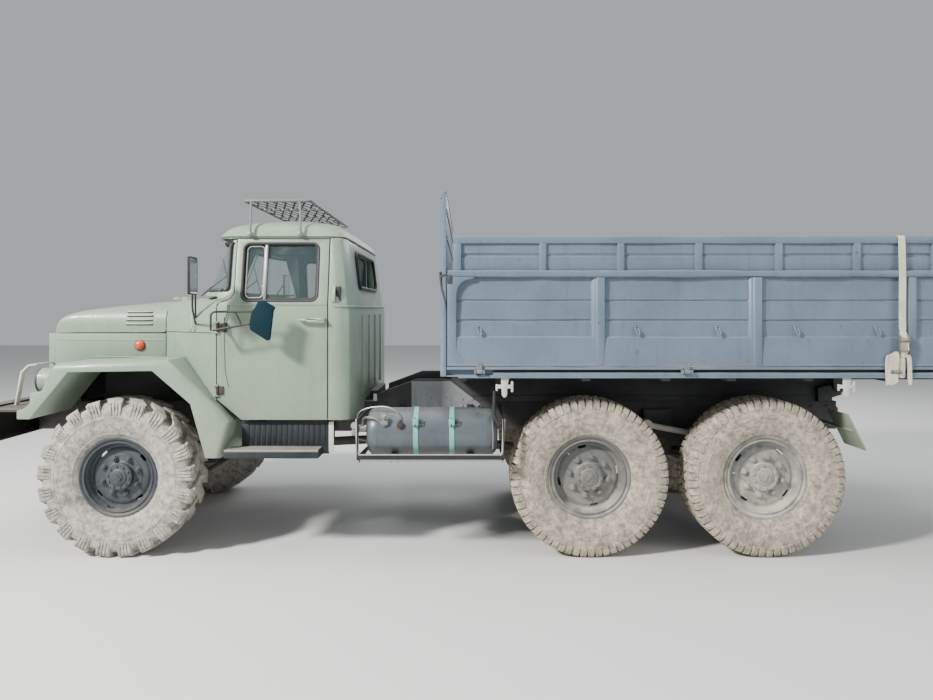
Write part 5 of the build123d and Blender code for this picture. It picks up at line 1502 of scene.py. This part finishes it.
@dataclass(frozen=True)
class Interior:
    """What is seen through the cab's glass: seats, dashboard, steering wheel, floor and pedals."""

    base: float = 1.3305
    spans: tuple[Pair, ...] = ((-0.9, -0.4), (-0.3, 0.9))
    channels: int = 5
    inset: float = 0.006
    cloth_steps: int = 20

    def cushion(self, name: str, low: Point, high: Point, lean: float = 0.0) -> Piece:
        """A cushion blown up between two corners, with sewn channels across its face.

        Args:
            name: The piece's name.
            low: Its lower corner.
            high: Its upper corner.
            lean: How far it leans back, in radians.

        Returns:
            The cushion.
        """
        soft = Shop.block(name, [a + self.inset for a in low], [b - self.inset for b in high], 0.022, 3)
        Shop.apply(soft, "REMESH", mode="VOXEL", voxel_size=0.007)
        self.swell(soft, 0.014)
        along, face, way = (0, 2, 1) if high[2] - low[2] < high[0] - low[0] else (2, 0, -1)
        middle = (low[face] + high[face]) / 2
        pitch = (high[along] - low[along]) / self.channels
        for vertex in soft.data.vertices:
            share = (vertex.co[along] - low[along]) / pitch
            groove = math.exp(-((share - round(share)) * pitch / 0.006) ** 2)
            near_edge = min(vertex.co[1] - low[1], high[1] - vertex.co[1]) < 0.03
            if (vertex.co[face] - middle) * way > 0.01 and not near_edge:
                vertex.co[face] -= way * 0.007 * groove
        Shop.smooth(soft, 1)
        if lean:
            Shop.placed(Shop.placed(soft, [-a for a in low]), low, lean, "Y")
        return soft

    def swell(self, piece: Piece, cap: float) -> None:
        """Blows a closed piece up with a short cloth simulation, moving no point further than a cap."""
        rest = [vertex.co.copy() for vertex in piece.data.vertices]
        Shop.take(piece)
        cloth = piece.modifiers.new("swell", "CLOTH")
        cloth.settings.use_pressure = True
        cloth.settings.uniform_pressure_force = 4
        cloth.settings.effector_weights.gravity = 0
        for step in range(1, self.cloth_steps + 1):
            bpy.context.scene.frame_set(step)
        bpy.ops.object.modifier_apply(modifier=cloth.name)
        bpy.context.scene.frame_set(1)
        for vertex, start in zip(piece.data.vertices, rest):
            move = vertex.co - start
            if move.length > cap:
                vertex.co = start + move.normalized() * cap

    def seats(self) -> None:
        """The driver's seat and the two-place one beside it, with welts, pans and shells."""
        soft, hard, welts = [], [], []
        base = self.base
        for index, (y0, y1) in enumerate(self.spans):
            soft += [self.cushion(f"seat_cushion_{index}", (1.09, y0, base + 0.012),
                    (1.45, y1, base + 0.112)),
                self.cushion(f"seat_back_{index}", (1.462, y0, base + 0.055), (1.538, y1, base + 0.462),
                    0.03)]
            hard += [Shop.block("seat_pan", (1.1, y0 + 0.01, base), (1.452, y1 - 0.01, base + 0.014)),
                Shop.block("seat_shell", (1.535, y0 + 0.01, base + 0.001), (1.549, y1 - 0.01, base + 0.45))]
            corners = [(x, y, base + 0.101) for x, y in ((1.098, y0 + 0.008), (1.442, y0 + 0.008),
                    (1.442, y1 - 0.008), (1.098, y1 - 0.008))]
            welts.append(Shop.tube("seat_welt", corners, 0.005, 0.05, closed=True))
        for index, piece in enumerate(soft):
            Shop.dress(piece.name, [piece], "seat", [] if index else ["seats"], crease=60)
        Shop.dress("seat_welts", welts, "rubber")
        Shop.dress("seat_frames", hard, "chassis")

    def controls(self) -> None:
        """Dashboard, wheel, levers and pedals."""
        dials = [Shop.tube("dash_dial", [(0.797, y, 1.705), (0.806, y, 1.707)], radius, 0, 5)
            for y, radius in ((-0.57, 0.052), (-0.45, 0.052), (-0.34, 0.034), (-0.26, 0.034))]
        Shop.dress("dash_panel", [Shop.refined("dashboard", 0.012, 3), *dials], "rubber", ["dashboard"])
        Shop.renewed("steering_wheel", "steering_wheel_rim", "rubber", 0.0)
        gear = [(0.98, -0.12, 1.088), (0.99, -0.13, 1.3), (1.05, -0.15, 1.5)]
        transfer = [(0.96, 0.02, 1.088), (0.97, 0.02, 1.28), (1.0, 0.02, 1.4)]
        levers = [Shop.tube("gear_lever", gear, 0.008, 0.1),
            Shop.tube("transfer_lever", transfer, 0.008, 0.08)]
        for place in ((1.05, -0.15, 1.51), (1.0, 0.02, 1.41)):
            Shop.clear()
            bpy.ops.mesh.primitive_uv_sphere_add(segments=20, ring_count=12, radius=0.024, location=place)
            levers.append(Shop.added("lever_knob"))
        for y in (-0.6, -0.47, -0.34):
            levers += [Shop.tube("pedal_arm", [(0.83, y, 1.2), (0.87, y, 1.17)], 0.009),
                Shop.block("pedal_pad", (0.868, y - 0.035, 1.135), (0.882, y + 0.035, 1.205), 0.004)]
        Shop.dress("cab_levers", levers, "rubber")
        Shop.renewed("cab_floor", "cab_floor_tray", "cab", 0.004, slot="chassis_paint")

    def build(self) -> None:
        """Models the inside."""
        self.seats()
        self.controls()


@dataclass(frozen=True)
class RoofRack:
    """The rack over the roof: a tube rim, expanded mesh and four clamped legs."""

    x0: float = 0.85
    x1: float = 1.334
    half: float = 0.85
    height: float = 2.549
    pitch: float = 0.0345
    length: float = 0.24
    strand: float = 0.0125
    swing: float = 0.0115

    def shelf(self) -> Piece:
        """The expanded sheet, as a lattice of lens-shaped openings."""
        strips = []
        steps = int((2 * self.half - 0.01) / self.length * 10)
        places = [-self.half + 0.008 + step * self.length / 10 for step in range(steps)]
        for column in range(int((self.x1 - self.x0) / self.pitch)):
            wave = self.swing if column % 2 else -self.swing
            start = self.x0 + 0.012 + column * self.pitch - self.strand / 2
            points = [(start + wave * math.cos(math.tau * y / self.length), y, self.height + 0.001)
                for y in places]
            strips.append(Shop.strip("lattice_strand", points, self.strand))
        return Shop.walled(Shop.joined("rack_lattice", strips), 0.003)

    def build(self) -> None:
        """Models the rack."""
        x0, x1, half, top = self.x0, self.x1, self.half, self.height
        Shop.dress("rack_lattice", [self.shelf()], "plank", slot="rack_metal")
        rim = [(x0, -half, top), (x1, -half, top), (x1, half, top), (x0, half, top)]
        made = [Shop.tube("rack_rim", rim, 0.0108, 0.03, 4, True)]
        made += [Shop.tube("rack_bar", [(x0, y, top - 0.008), (x1, y, top - 0.008)], 0.006)
            for y in (-0.42, 0.0, 0.42)]
        clamps = []
        for side in (-1, 1):
            y = side * 0.9865
            for x in (0.898, 1.257):
                leg = [(x + 0.034, y, 2.283), (x + 0.034, y, 2.328), (x, side * 0.848, top)]
                made.append(Shop.tube("rack_leg", leg, 0.0088, 0.02, 4))
                clamps.append(Shop.block("rack_clamp", (x + 0.015, y - 0.0078, 2.2805),
                    (x + 0.053, y + 0.0078, 2.309), 0.004))
        Shop.dress("rack_tubes", made, "rack", ["roof_rack"])
        Shop.dress("rack_clamps", clamps, "steel")


@dataclass(frozen=True)
class Mirrors:
    """The tall mirrors on the cowl and the folded one on the left door."""

    tall_angle: float = math.radians(3)
    plate_angle: float = math.radians(38.5)

    def tall(self, side: Side) -> None:
        """A tall mirror with its strip arms and its three-hole plate."""
        sign = side.value
        rim = [(0.0065, y * 0.0785, z * 0.1235) for y, z in ((-1, -1), (1, -1), (1, 1), (-1, 1))]
        head = [Shop.block("mirror_shell", (-0.0105, -0.082, -0.1275), (0.006, 0.082, 0.1275), 0.009, 4),
            Shop.tube("mirror_rim", rim, 0.0035, 0.02, 3, True),
            Shop.block("mirror_face", (0.0055, -0.074, -0.119), (0.0085, 0.074, 0.119), 0.0012, 1)]
        for piece in head:
            Shop.placed(piece, (0.632, sign * 1.29, 1.98), -sign * self.tall_angle)
        foot = [Shop.slab("mirror_plate", (0, 0, 0), (0.031, 0.003, 0.049), 0.0022)]
        foot += [Shop.tube("plate_bolt", [(0, 0, z), (0, sign * 0.008, z)], 0.0075)
            for z in (-0.034, 0.0, 0.034)]
        for piece in foot:
            Shop.placed(piece, (0.508, sign * 0.8935, 1.67), -sign * self.plate_angle)
        arms = [Shop.tube("mirror_arm", [(x, sign * y, z) for x, y, z in line], 0.0068, 0.05)
            for line in ([(0.508, 0.8965, 1.648), (0.59, 1.18, 1.76), (0.632, 1.288, 1.872)],
                [(0.508, 0.8965, 1.697), (0.6, 1.15, 1.95), (0.63, 1.286, 2.038)])]
        nodes = ["cowl_mirrors"] if side is Side.LEFT else []
        Shop.dress(f"cowl_mirror_{side.word}", [*head[:2], *arms], "rubber", nodes)
        Shop.dress(f"cowl_mirror_plate_{side.word}", foot, "primer")
        Shop.dress(f"cowl_mirror_face_{side.word}", head[2:], "mirror")

    def folded(self) -> None:
        """The door's shield-shaped mirror on its bent tubes."""
        outline = [(1.053, 1.812), (1.094, 1.814), (1.172, 1.768), (1.159, 1.743), (1.136, 1.545),
            (1.113, 1.539), (0.999, 1.613), (0.992, 1.651), (1.008, 1.736), (1.033, 1.77)]
        shell = Shop.plate("shell", [(x, -1.1985, z) for x, z in outline], (0, -0.024, 0), 0.008, 4)
        inner = [(1.0775 + (x - 1.0775) * 0.88, -1.199, 1.684 + (z - 1.684) * 0.9) for x, z in outline]
        face = Shop.plate("face", inner, (0, 0.0012, 0))
        bars = [([(0.778, -1.07, 1.62), (0.722, -1.195, 1.606), (0.94, -1.195, 1.646),
                  (1.034, -1.202, 1.664)],
                 0.0076, 0.035, 4),
                ([(0.722, -1.195, 1.606), (0.722, -1.195, 1.736), (1.04, -1.2, 1.74)], 0.0072, 0.03, 4),
                ([(0.89, -1.195, 1.738), (0.935, -1.198, 1.646)], 0.0056, 0, 3),
                ([(0.795, -1.056, 1.785), (0.79, -1.06, 1.72), (0.772, -1.058, 1.672)], 0.003, 0.02, 2)]
        made = [Shop.tube("mirror_bar", *bar) for bar in bars]
        made.append(Shop.block("mirror_bracket", (0.768, -1.083, 1.591), (0.788, -1.0508, 1.661), 0.004))
        Shop.dress("door_mirror_shell", [shell], "teal", ["door_mirror"], "door_left")
        Shop.dress("door_mirror_tubes", made, "rubber", body="door_left", slot="mirror_back")
        Shop.dress("door_mirror_face", [face], "mirror", body="door_left")

    def build(self) -> None:
        """Models all three mirrors."""
        for side in Side:
            self.tall(side)
        self.folded()


@dataclass(frozen=True)
class FrontEnd:
    """Bumper, tow hooks, guards and all of the truck's lamps."""

    bumper_top: float = 1.075
    guard_y: float = 0.82
    bowl: tuple[Pair, ...] = ((0.0, 0.235), (0.05, 0.225), (0.078, 0.18), (0.0885, 0.08), (0.0915, 0.01),
        (0.0915, 0.0), (0.0865, 0.0), (0.08, 0.045), (0.05, 0.1), (0.0, 0.108))
    rim: tuple[Pair, ...] = ((0.0835, 0.004), (0.0925, 0.002), (0.0935, -0.006), (0.0915, -0.013),
        (0.0835, -0.0165), (0.0795, -0.012), (0.0835, 0.004))
    glass: tuple[Pair, ...] = ((0.0805, -0.011), (0.06, -0.0195), (0.03, -0.0245), (0.0, -0.026),
        (0.0, -0.0225), (0.03, -0.0208), (0.06, -0.016), (0.0805, -0.007), (0.0805, -0.011))
    marker: tuple[Pair, ...] = ((0.0385, 0.0), (0.038, -0.007), (0.033, -0.017), (0.022, -0.0255),
        (0.0, -0.03))
    base: tuple[Pair, ...] = ((0.0, 0.0), (0.0415, 0.0), (0.0415, -0.005), (0.0375, -0.006))

    def bumper(self) -> None:
        """The bumper channel without its CAD guards, its bolts, the new guards and the tow hooks."""
        channel = Shop.refined("front_bumper", 0.004)
        bolts = [Shop.tube("bumper_bolt", [(-0.999, y, z), (-1.007, y, z)], 0.013, 0, 2)
            for y in (-0.96, -0.47, -0.39, 0.39, 0.47, 0.96) for z in (0.86, 1.0)]
        with Shop.edit(channel, lambda vertex: vertex.co.z > self.bumper_top):
            bpy.ops.mesh.delete(type="VERT")
        Shop.dress("bumper_channel", [channel, *bolts], "chassis", ["front_bumper"])
        guards = []
        flat = [(-0.845, 1.041), (-0.833, 1.041), (-0.787, 1.288), (-0.741, 1.334), (-0.68, 1.345),
            (-0.68, 1.357), (-0.746, 1.347), (-0.799, 1.294)]
        for side in (-1, 1):
            y = side * self.guard_y
            arm = [(-0.69, y, 1.352), (-0.672, y - side * 0.03, 1.352), (-0.672, side * 0.642, 1.352)]
            guards += [Shop.plate("guard_bar", [(x, y - 0.023, z) for x, z in flat], (0, 0.046, 0), 0.002),
                Shop.tube("guard_arm", arm, 0.0065, 0.012)]
        Shop.dress("lamp_guards", guards, "primer")
        Shop.renewed("tow_fittings", "tow_hooks", "steel", 0.004)

    def lamps(self) -> None:
        """Every lamp on the truck."""
        bowls, rims, glasses, markers, tails = [], [], [], [], []
        for side in Side:
            head = ((-0.624, side.value * 0.85, 1.235), -math.pi / 2)
            flank = ((-0.01, side.value * 0.6412, 1.48), 0.0 if side is Side.LEFT else math.pi)
            y = side.value * 0.295
            bowls.append(Shop.spun("lamp_bowl", self.bowl, 48, *head))
            rims += [Shop.spun("lamp_rim", self.rim, 48, *head),
                Shop.spun("marker_base", self.base, 40, *flank),
                Shop.block("tail_case", (5.4008, y - 0.064, 0.861), (5.442, y + 0.064, 0.979), 0.005)]
            glasses.append(Shop.spun("lamp_lens", self.glass, 48, *head))
            markers.append(Shop.spun("marker_dome", self.marker, 40, *flank))
            tails.append(Shop.block("tail_lens", (5.4405, y - 0.056, 0.869), (5.4585, y + 0.056, 0.971),
                0.006, 3))
        Shop.dress("lamp_bowls", bowls, "cab", ["lamps"])
        Shop.dress("lamp_rims", rims, "rubber")
        Shop.dress("lamp_glasses", glasses, "lens")
        Shop.dress("marker_lamps", markers, "lamp")
        Shop.dress("tail_lamps", tails, "lamp")

    def build(self) -> None:
        """Models the front end and the lamps."""
        self.bumper()
        self.lamps()


@dataclass(frozen=True)
class Undercarriage:
    """Frame, axles, springs, drive line and the boxes and brackets on the rails."""

    plain: tuple[str, ...] = ("frame_rails", "frame_crossmembers", "subframe", "front_axle", "rear_axles",
        "drive_line", "knuckle_left", "knuckle_right", "tie_rod")
    moving: tuple[str, ...] = ("knuckle_left", "knuckle_right", "tie_rod")
    rail_y: float = 0.4325
    rivets: tuple[float, ...] = (-0.75, -0.6, -0.3, 0.3, 0.6, 1.15, 1.3, 1.75, 1.9, 2.6, 2.75, 3.3, 3.45, 4.6,
        4.75, 5.2, 5.32)

    def springs(self) -> None:
        """The leaf packs' clips, the bogie's caps and the torque rods."""
        packs = Shop.refined("leaf_springs")
        clips, rods, eyes = [], [], []
        for side in (-1, 1):
            front, rear = side * 0.395, side * 0.5225
            clips += [Shop.block("spring_clip", (x - 0.012, front - 0.039, 0.6),
                    (x + 0.012, front + 0.039, 0.735), 0.004)
                for x in (-0.12, 0.12)]
            clips += [Shop.block("bogie_clip", (x - 0.014, rear - 0.049, low),
                    (x + 0.014, rear + 0.049, high), 0.004)
                for x, low, high in ((3.735, 0.655, 0.8), (4.215, 0.655, 0.8), (3.975, 0.6, 0.862))]
            clips.append(Shop.spun("bogie_cap",
                [(0.0, -0.078), (0.045, -0.076), (0.06, -0.07), (0.068, -0.066)], 32, (3.975, rear, 0.7), 0.0
                if side < 0 else math.pi))
            rods.append(Shop.tube("torque_rod", [(3.84, side * 0.594, 0.872), (4.22, side * 0.594, 0.8)],
                0.023, 0, 5))
            eyes += [Shop.tube("torque_eye", [(x, side * 0.566, z), (x, side * 0.624, z)], 0.042, 0, 6)
                for x, z in ((3.86, 0.868), (4.22, 0.8))]
        Shop.dress("spring_packs", [packs, *clips], "chassis", ["leaf_springs"])
        Shop.dress("torque_rods", rods + eyes, "primer")

    def rail_details(self) -> None:
        """Rail rivets, the subframe's seam, the beam behind the cab, its bracket, and light plates with bolts
        painted as the sunlit patch on the frame's side.
        """
        dot = Shop.spun("rail_rivet", [(0.0, -0.006), (0.0055, -0.00516), (0.00946, -0.003), (0.011, 0.0)],
            14)
        places = [(x, -self.rail_y, z) for x in self.rivets for z in (0.85, 0.99)]
        places += [(x, -self.rail_y, 1.055) for x in (1.84, 1.96, 2.08, 2.2, 2.32, 2.44)]
        left = Shop.joined("rail_rivets",
            [Shop.copied(dot, "rivet", Matrix.Translation(place)) for place in places])
        bpy.data.objects.remove(dot)
        seam = [Shop.run("subframe_seam",
                [(side * y, z) for y, z in rounded(self.rail_y, 0.437, 1.068, 1.076, 0.002)], 1.8, 5.2)
            for side in (-1, 1)]
        beam = Shop.block("cab_rear_beam", (1.7, -0.3, 1.0305), (1.76, 0.3, 1.1), 0.006)
        right = Shop.mirrored(left, "rail_rivets_right")
        Shop.dress("rail_details", [left, right, *seam, beam], "chassis")
        y = self.rail_y + 0.0003
        bracket = [(1.742, -y, 1.032), (1.775, -y, 1.032), (1.77, -y, 1.085), (1.745, -y, 1.09)]
        Shop.dress("beam_bracket", [Shop.plate("bracket", bracket, (0, -0.012, 0), 0.003)], "primer")
        # Light grey plates whose outline follows the shadow edges of the cab and the bed: painted sunlight on
        # the frame's side, with real bolts on it.
        sunlit_patches = []
        for side in (-1, 1):
            outline = [(x, side * y, z)
                for x, z in ((2.044, 1.188), (2.352, 1.188), (2.589, 1.006), (2.56, 0.979), (2.044, 0.979))]
            sunlit_patches.append(Shop.plate("painted_sunlit_plate", outline, (0, side * 0.005, 0), 0.0015))
            sunlit_patches += [Shop.tube("plate_rivet", [(x, side * y, z), (x, side * (y + 0.011), z)], 0.01, 0, 4)
                for z in (0.998, 1.05) for x in (2.08, 2.17, 2.26, 2.35, 2.44, 2.52)]
        Shop.dress("painted_sunlit_plates", sunlit_patches, "grey")

    def build(self) -> None:
        """Models the underside."""
        for node in self.plain:
            Shop.renewed(node, f"{node}_finished", "chassis", body=node if node in self.moving else "chassis")
        self.springs()
        self.rail_details()
        Shop.renewed("mud_flaps", "mud_flap_sheets", "cab", 0.002)
        bands = [Shop.tube("silencer_band", [(x - 0.012, 0.5625, 0.9), (x + 0.012, 0.5625, 0.9)], 0.0935, 0,
                8)
            for x in (1.05, 1.35)]
        Shop.dress("exhaust_silencer", [Shop.refined("exhaust", 0.006, 3), *bands], "rust", ["exhaust"],
            slot="chassis_paint")


@dataclass(frozen=True)
class SideEquipment:
    """Running boards with their grille treads, and the tanks with straps, valves and cradles."""

    axis: Pair = (-1.0, 0.886)
    band_places: Pair = (2.126, 2.376)

    def running_boards(self) -> None:
        """The treads under the doors and the grooved sill plates behind them."""
        boards = Shop.refined("running_boards")
        grooves, treads, ends = [], [], []
        for side in (-1, 1):
            grooves += [Shop.block("sill_rib", (x, side * 1.0115 - 0.003, 0.79),
                    (x + 0.031, side * 1.0115 + 0.003, 0.935), 0.0018)
                for x in (0.905 + 0.0385 * index for index in range(15))]
            grooves.append(Shop.run("sill_line",
                [(side * y, z) for y, z in rounded(1.009, 1.016, 0.944, 0.9545, 0.003)], 0.882, 1.498))
            ends.append(Shop.block("sill_end", (1.499, side * 1.0125 - 0.003, 0.742),
                (1.534, side * 1.0125 + 0.003, 0.955), 0.0015))
            for y in (side * (1.02 + 0.031 * index) for index in range(5)):
                treads.append(Shop.run("tread_bar", rounded(y - 0.002, y + 0.002, 0.7685, 0.781, 0.001),
                    0.806, 1.447))
            for x in (0.812 + 0.0197 * index for index in range(33)):
                treads.append(Shop.block("tread_tooth", (x - 0.0018, side * 1.016, 0.7685),
                    (x + 0.0018, side * 1.148, 0.7775), 0.0))
            edge = sorted((side * 1.15, side * 1.1645))
            treads.append(Shop.run("tread_edge", rounded(*edge, 0.724, 0.782, 0.004), 0.801, 1.452))
        Shop.dress("running_board_frames", [boards, *grooves], "plank", ["running_boards"])
        Shop.dress("tread_grilles", treads, "steel")
        Shop.dress("sill_ends", ends, "primer")

    def tanks(self) -> None:
        """The gas cylinder with its welded seams and straps, and the fuel tank with its filler."""
        profile = [(0.0, 0.0), (0.06, 0.001), (0.11, 0.006), (0.142, 0.017), (0.162, 0.038), (0.1695, 0.07),
            (0.17, 0.0852), (0.1702, 0.0875), (0.169, 0.089), (0.1692, 0.45)]
        profile += [(r, 0.928 - d) for r, d in reversed(profile[:9])]
        shell = Shop.spun("gas_shell", profile, 72, (1.772, *self.axis), -math.pi / 2)
        fuel = Shop.run("fuel_shell", rounded(0.8215, 1.158, 0.7175, 1.0445, 0.055, 6), 1.814, 2.618)
        Shop.bevelled(fuel, 0.006, 3, 60)
        ribs = [Shop.run("fuel_rib", rounded(0.8205, 1.1588, 0.7168, 1.0455, 0.055, 6), x, x + 0.018)
            for x in (2.05, 2.36)]
        filler = Shop.tube("fuel_filler", [(1.93, 1.08, 1.042), (1.93, 1.085, 1.054)], 0.045, 0, 6)
        Shop.dress("tank_shells", [shell, fuel, *ribs, filler], "tank", ["tanks"])
        bands, buckles = [], []
        flat = [(0.1705, -0.017), (0.1728, -0.0165), (0.1728, 0.0165), (0.1705, 0.017), (0.1705, -0.017)]
        for x in self.band_places:
            bands += [Shop.spun("tank_band", flat, 72, (x, *self.axis), -math.pi / 2),
                Shop.block("band_buckle", (x - 0.02, -1.1765, 0.952), (x + 0.02, -1.148, 0.998))]
            ring = [(x + 0.02, -1.165, 0.992), (x + 0.044, -1.16, 0.994), (x + 0.046, -1.169, 0.956),
                (x + 0.02, -1.172, 0.96)]
            buckles += [Shop.tube("band_screw", [(x - 0.004, -1.158, 1.006), (x - 0.004, -1.18, 0.94)],
                    0.005),
                Shop.tube("band_ring", ring, 0.0035, 0.008)]
        Shop.dress("tank_bands", bands, "strap")
        Shop.dress("tank_buckles", buckles, "chassis")

    def valves(self) -> None:
        """The valve cluster on the cylinder's front, its pipes and the left end's cock."""
        pipes = [
            ("valve_body", [(1.905, -1.15, 0.955), (1.905, -1.166, 0.975)], 0.022, 0, 4),
            ("valve_stem", [(1.905, -1.155, 0.965), (1.905, -1.172, 1.012)], 0.01, 0, 4),
            ("valve_wheel", [(1.905, -1.166, 1.008), (1.905, -1.172, 1.022)], 0.02, 0, 5),
            ("valve_pipe",
             [(1.89, -1.16, 0.968), (1.84, -1.164, 1.005), (1.79, -1.15, 1.008), (1.752, -1.1, 0.99),
                            (1.745, -1.04, 0.93)], 0.007, 0.03, 3),
            ("end_valve", [(1.774, -1.0, 0.905), (1.676, -1.0, 0.905)], 0.026, 0, 5),
            ("end_valve_stem", [(1.694, -1.0, 0.905), (1.694, -1.085, 0.935)], 0.013, 0, 4),
            ("end_valve_wheel", [(1.694, -1.082, 0.934), (1.694, -1.1, 0.941)], 0.026, 0, 5),
            ("end_pipe", [(1.69, -1.0, 0.88), (1.688, -0.98, 0.83), (1.8, -0.95, 0.8)], 0.007, 0.02, 3),
            ("top_pipe",
             [(1.7, -1.03, 0.925), (1.712, -1.06, 1.03), (1.8, -1.09, 1.068), (1.93, -1.12, 1.078),
                          (2.0, -1.14, 1.044), (2.022, -1.15, 0.985)], 0.005, 0.04, 3),
            ("tank_hose", [(2.66, -1.15, 0.785), (2.662, -1.164, 0.9), (2.655, -1.15, 0.99)], 0.0045, 0.04,
             3)]
        knobs = [
            ("port_nut", [(2.022, -1.14, 0.948), (2.022, -1.17, 0.953)], 0.026, 0, 5),
            ("port_cap", [(2.022, -1.168, 0.953), (2.022, -1.178, 0.955)], 0.015, 0, 5),
            ("port_neck", [(2.016, -1.15, 0.985), (2.02, -1.16, 0.955)], 0.01, 0, 4),
            ("lift_rod", [(2.672, -1.16, 1.19), (2.664, -1.166, 1.03), (2.7, -1.168, 0.96)], 0.012, 0.03, 4)]
        sides = [Shop.block("valve_side", (1.905, -1.176, 0.955), (1.935, -1.15, 0.985), 0.004),
            Shop.block("end_valve_side", (1.664, -1.046, 0.86), (1.712, -1.0, 0.902), 0.006)]
        Shop.dress("tank_valves", [*(Shop.tube(*pipe) for pipe in pipes), *sides], "steel")
        Shop.dress("tank_knobs", [Shop.tube(*knob) for knob in knobs], "rubber")

    def cradles(self) -> None:
        """The cradles, with their outer lower edge drawn up, and their light front rails and end loops."""
        cradle = Shop.refined("tank_cradles")
        for vertex in cradle.data.vertices:
            if abs(vertex.co.y) > 1.149 and vertex.co.z < 0.722:
                vertex.co.z += 0.034
        Shop.dress("tank_cradle_frames", [cradle], "plank", ["tank_cradles"])
        rails = []
        for side in (-1, 1):
            section = rounded(*sorted((side * 1.16, side * 1.1818)), 0.705, 0.755, 0.01)
            rails.append(Shop.run("cradle_rail", section, 1.745, 2.715))
            y = side * 1.1725
            loop = [(1.72, y, 0.998), (1.724, y, 0.85), (1.728, y, 0.76), (1.762, y, 0.73)]
            rails += [Shop.tube("cradle_loop", line, 0.0095, 0.02, 4)
                for line in (loop, [(4.456 - x, y, z) for x, y, z in loop])]
        Shop.dress("cradle_rails", rails, "rail")

    def build(self) -> None:
        """Models the side equipment."""
        self.running_boards()
        self.tanks()
        self.valves()
        self.cradles()


def light(name: str, place: Point, aim: Point, power: float, size: float, color: Point) -> Piece:
    """A square area light that looks at a point.

    Args:
        name: The light's name.
        place: Where it stands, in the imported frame.
        aim: What it looks at.
        power: Its power, in watts.
        size: Its size, in metres.
        color: Its colour.

    Returns:
        The light.
    """
    made = bpy.data.lights.new(name, "AREA")
    made.energy = power
    made.color = color
    made.shape = "RECTANGLE"
    made.size = made.size_y = size
    holder = bpy.data.objects.new(name, made)
    bpy.context.scene.collection.objects.link(holder)
    holder.location = place
    holder.rotation_euler = (Vector(aim) - Vector(place)).to_track_quat("-Z", "Y").to_euler()
    return holder


def surroundings() -> None:
    """The pale floor, the soft lights and the camera at the photo's angle."""
    bpy.ops.mesh.primitive_plane_add(size=60, location=(0, 0, 0))
    floor = Shop.added("floor")
    floor.data.materials.append(Brush("floor_plain").feed(Base_Color=(0.6, 0.6, 0.585), Roughness=0.9))
    white = (1.0, 1.0, 1.0)
    lights = [light("key", (-8.5, -7.0, 8.0), (0.3, 0.0, 1.0), 3500, 1.3, (1.0, 0.98, 0.95)),
        light("sky", (0.5, -1.0, 12.0), (0.0, 0.0, 0.0), 1050, 9.0, (0.93, 0.97, 1.0)),
        light("side", (7.5, -6.5, 4.5), (1.5, 0.0, 1.0), 260, 4.0, white),
        light("back", (3.0, 9.0, 7.0), (0.0, 0.0, 1.2), 520, 6.0, white)]
    world = bpy.data.worlds.new("pale_sky")
    bpy.context.scene.world = world
    world.use_nodes = True
    sky = world.node_tree.nodes["Background"].inputs
    sky["Color"].default_value = (0.86, 0.9, 0.95, 1.0)
    sky["Strength"].default_value = 0.5
    camera = bpy.data.cameras.new("photo_view")
    camera.lens = 28.36
    camera.sensor_width = 36.0
    camera.shift_y = -0.043
    camera.clip_end = 200
    holder = bpy.data.objects.new("photo_view", camera)
    bpy.context.scene.collection.objects.link(holder)
    holder.location = (-0.267, -6.24, 1.75)
    holder.rotation_euler = (math.pi / 2, 0, 0)
    bpy.context.scene.camera = holder


def main() -> None:
    """Dresses the whole truck and sets the stage."""
    Shop.looks = palette()
    for assembly in (RunningGear, Bed, TieStrap, Doors, Hood, CabShell, Interior, RoofRack, Mirrors, FrontEnd,
            Undercarriage, SideEquipment, DropSide):
        assembly().build()
    surroundings()


if __name__ == "__main__":
    main()
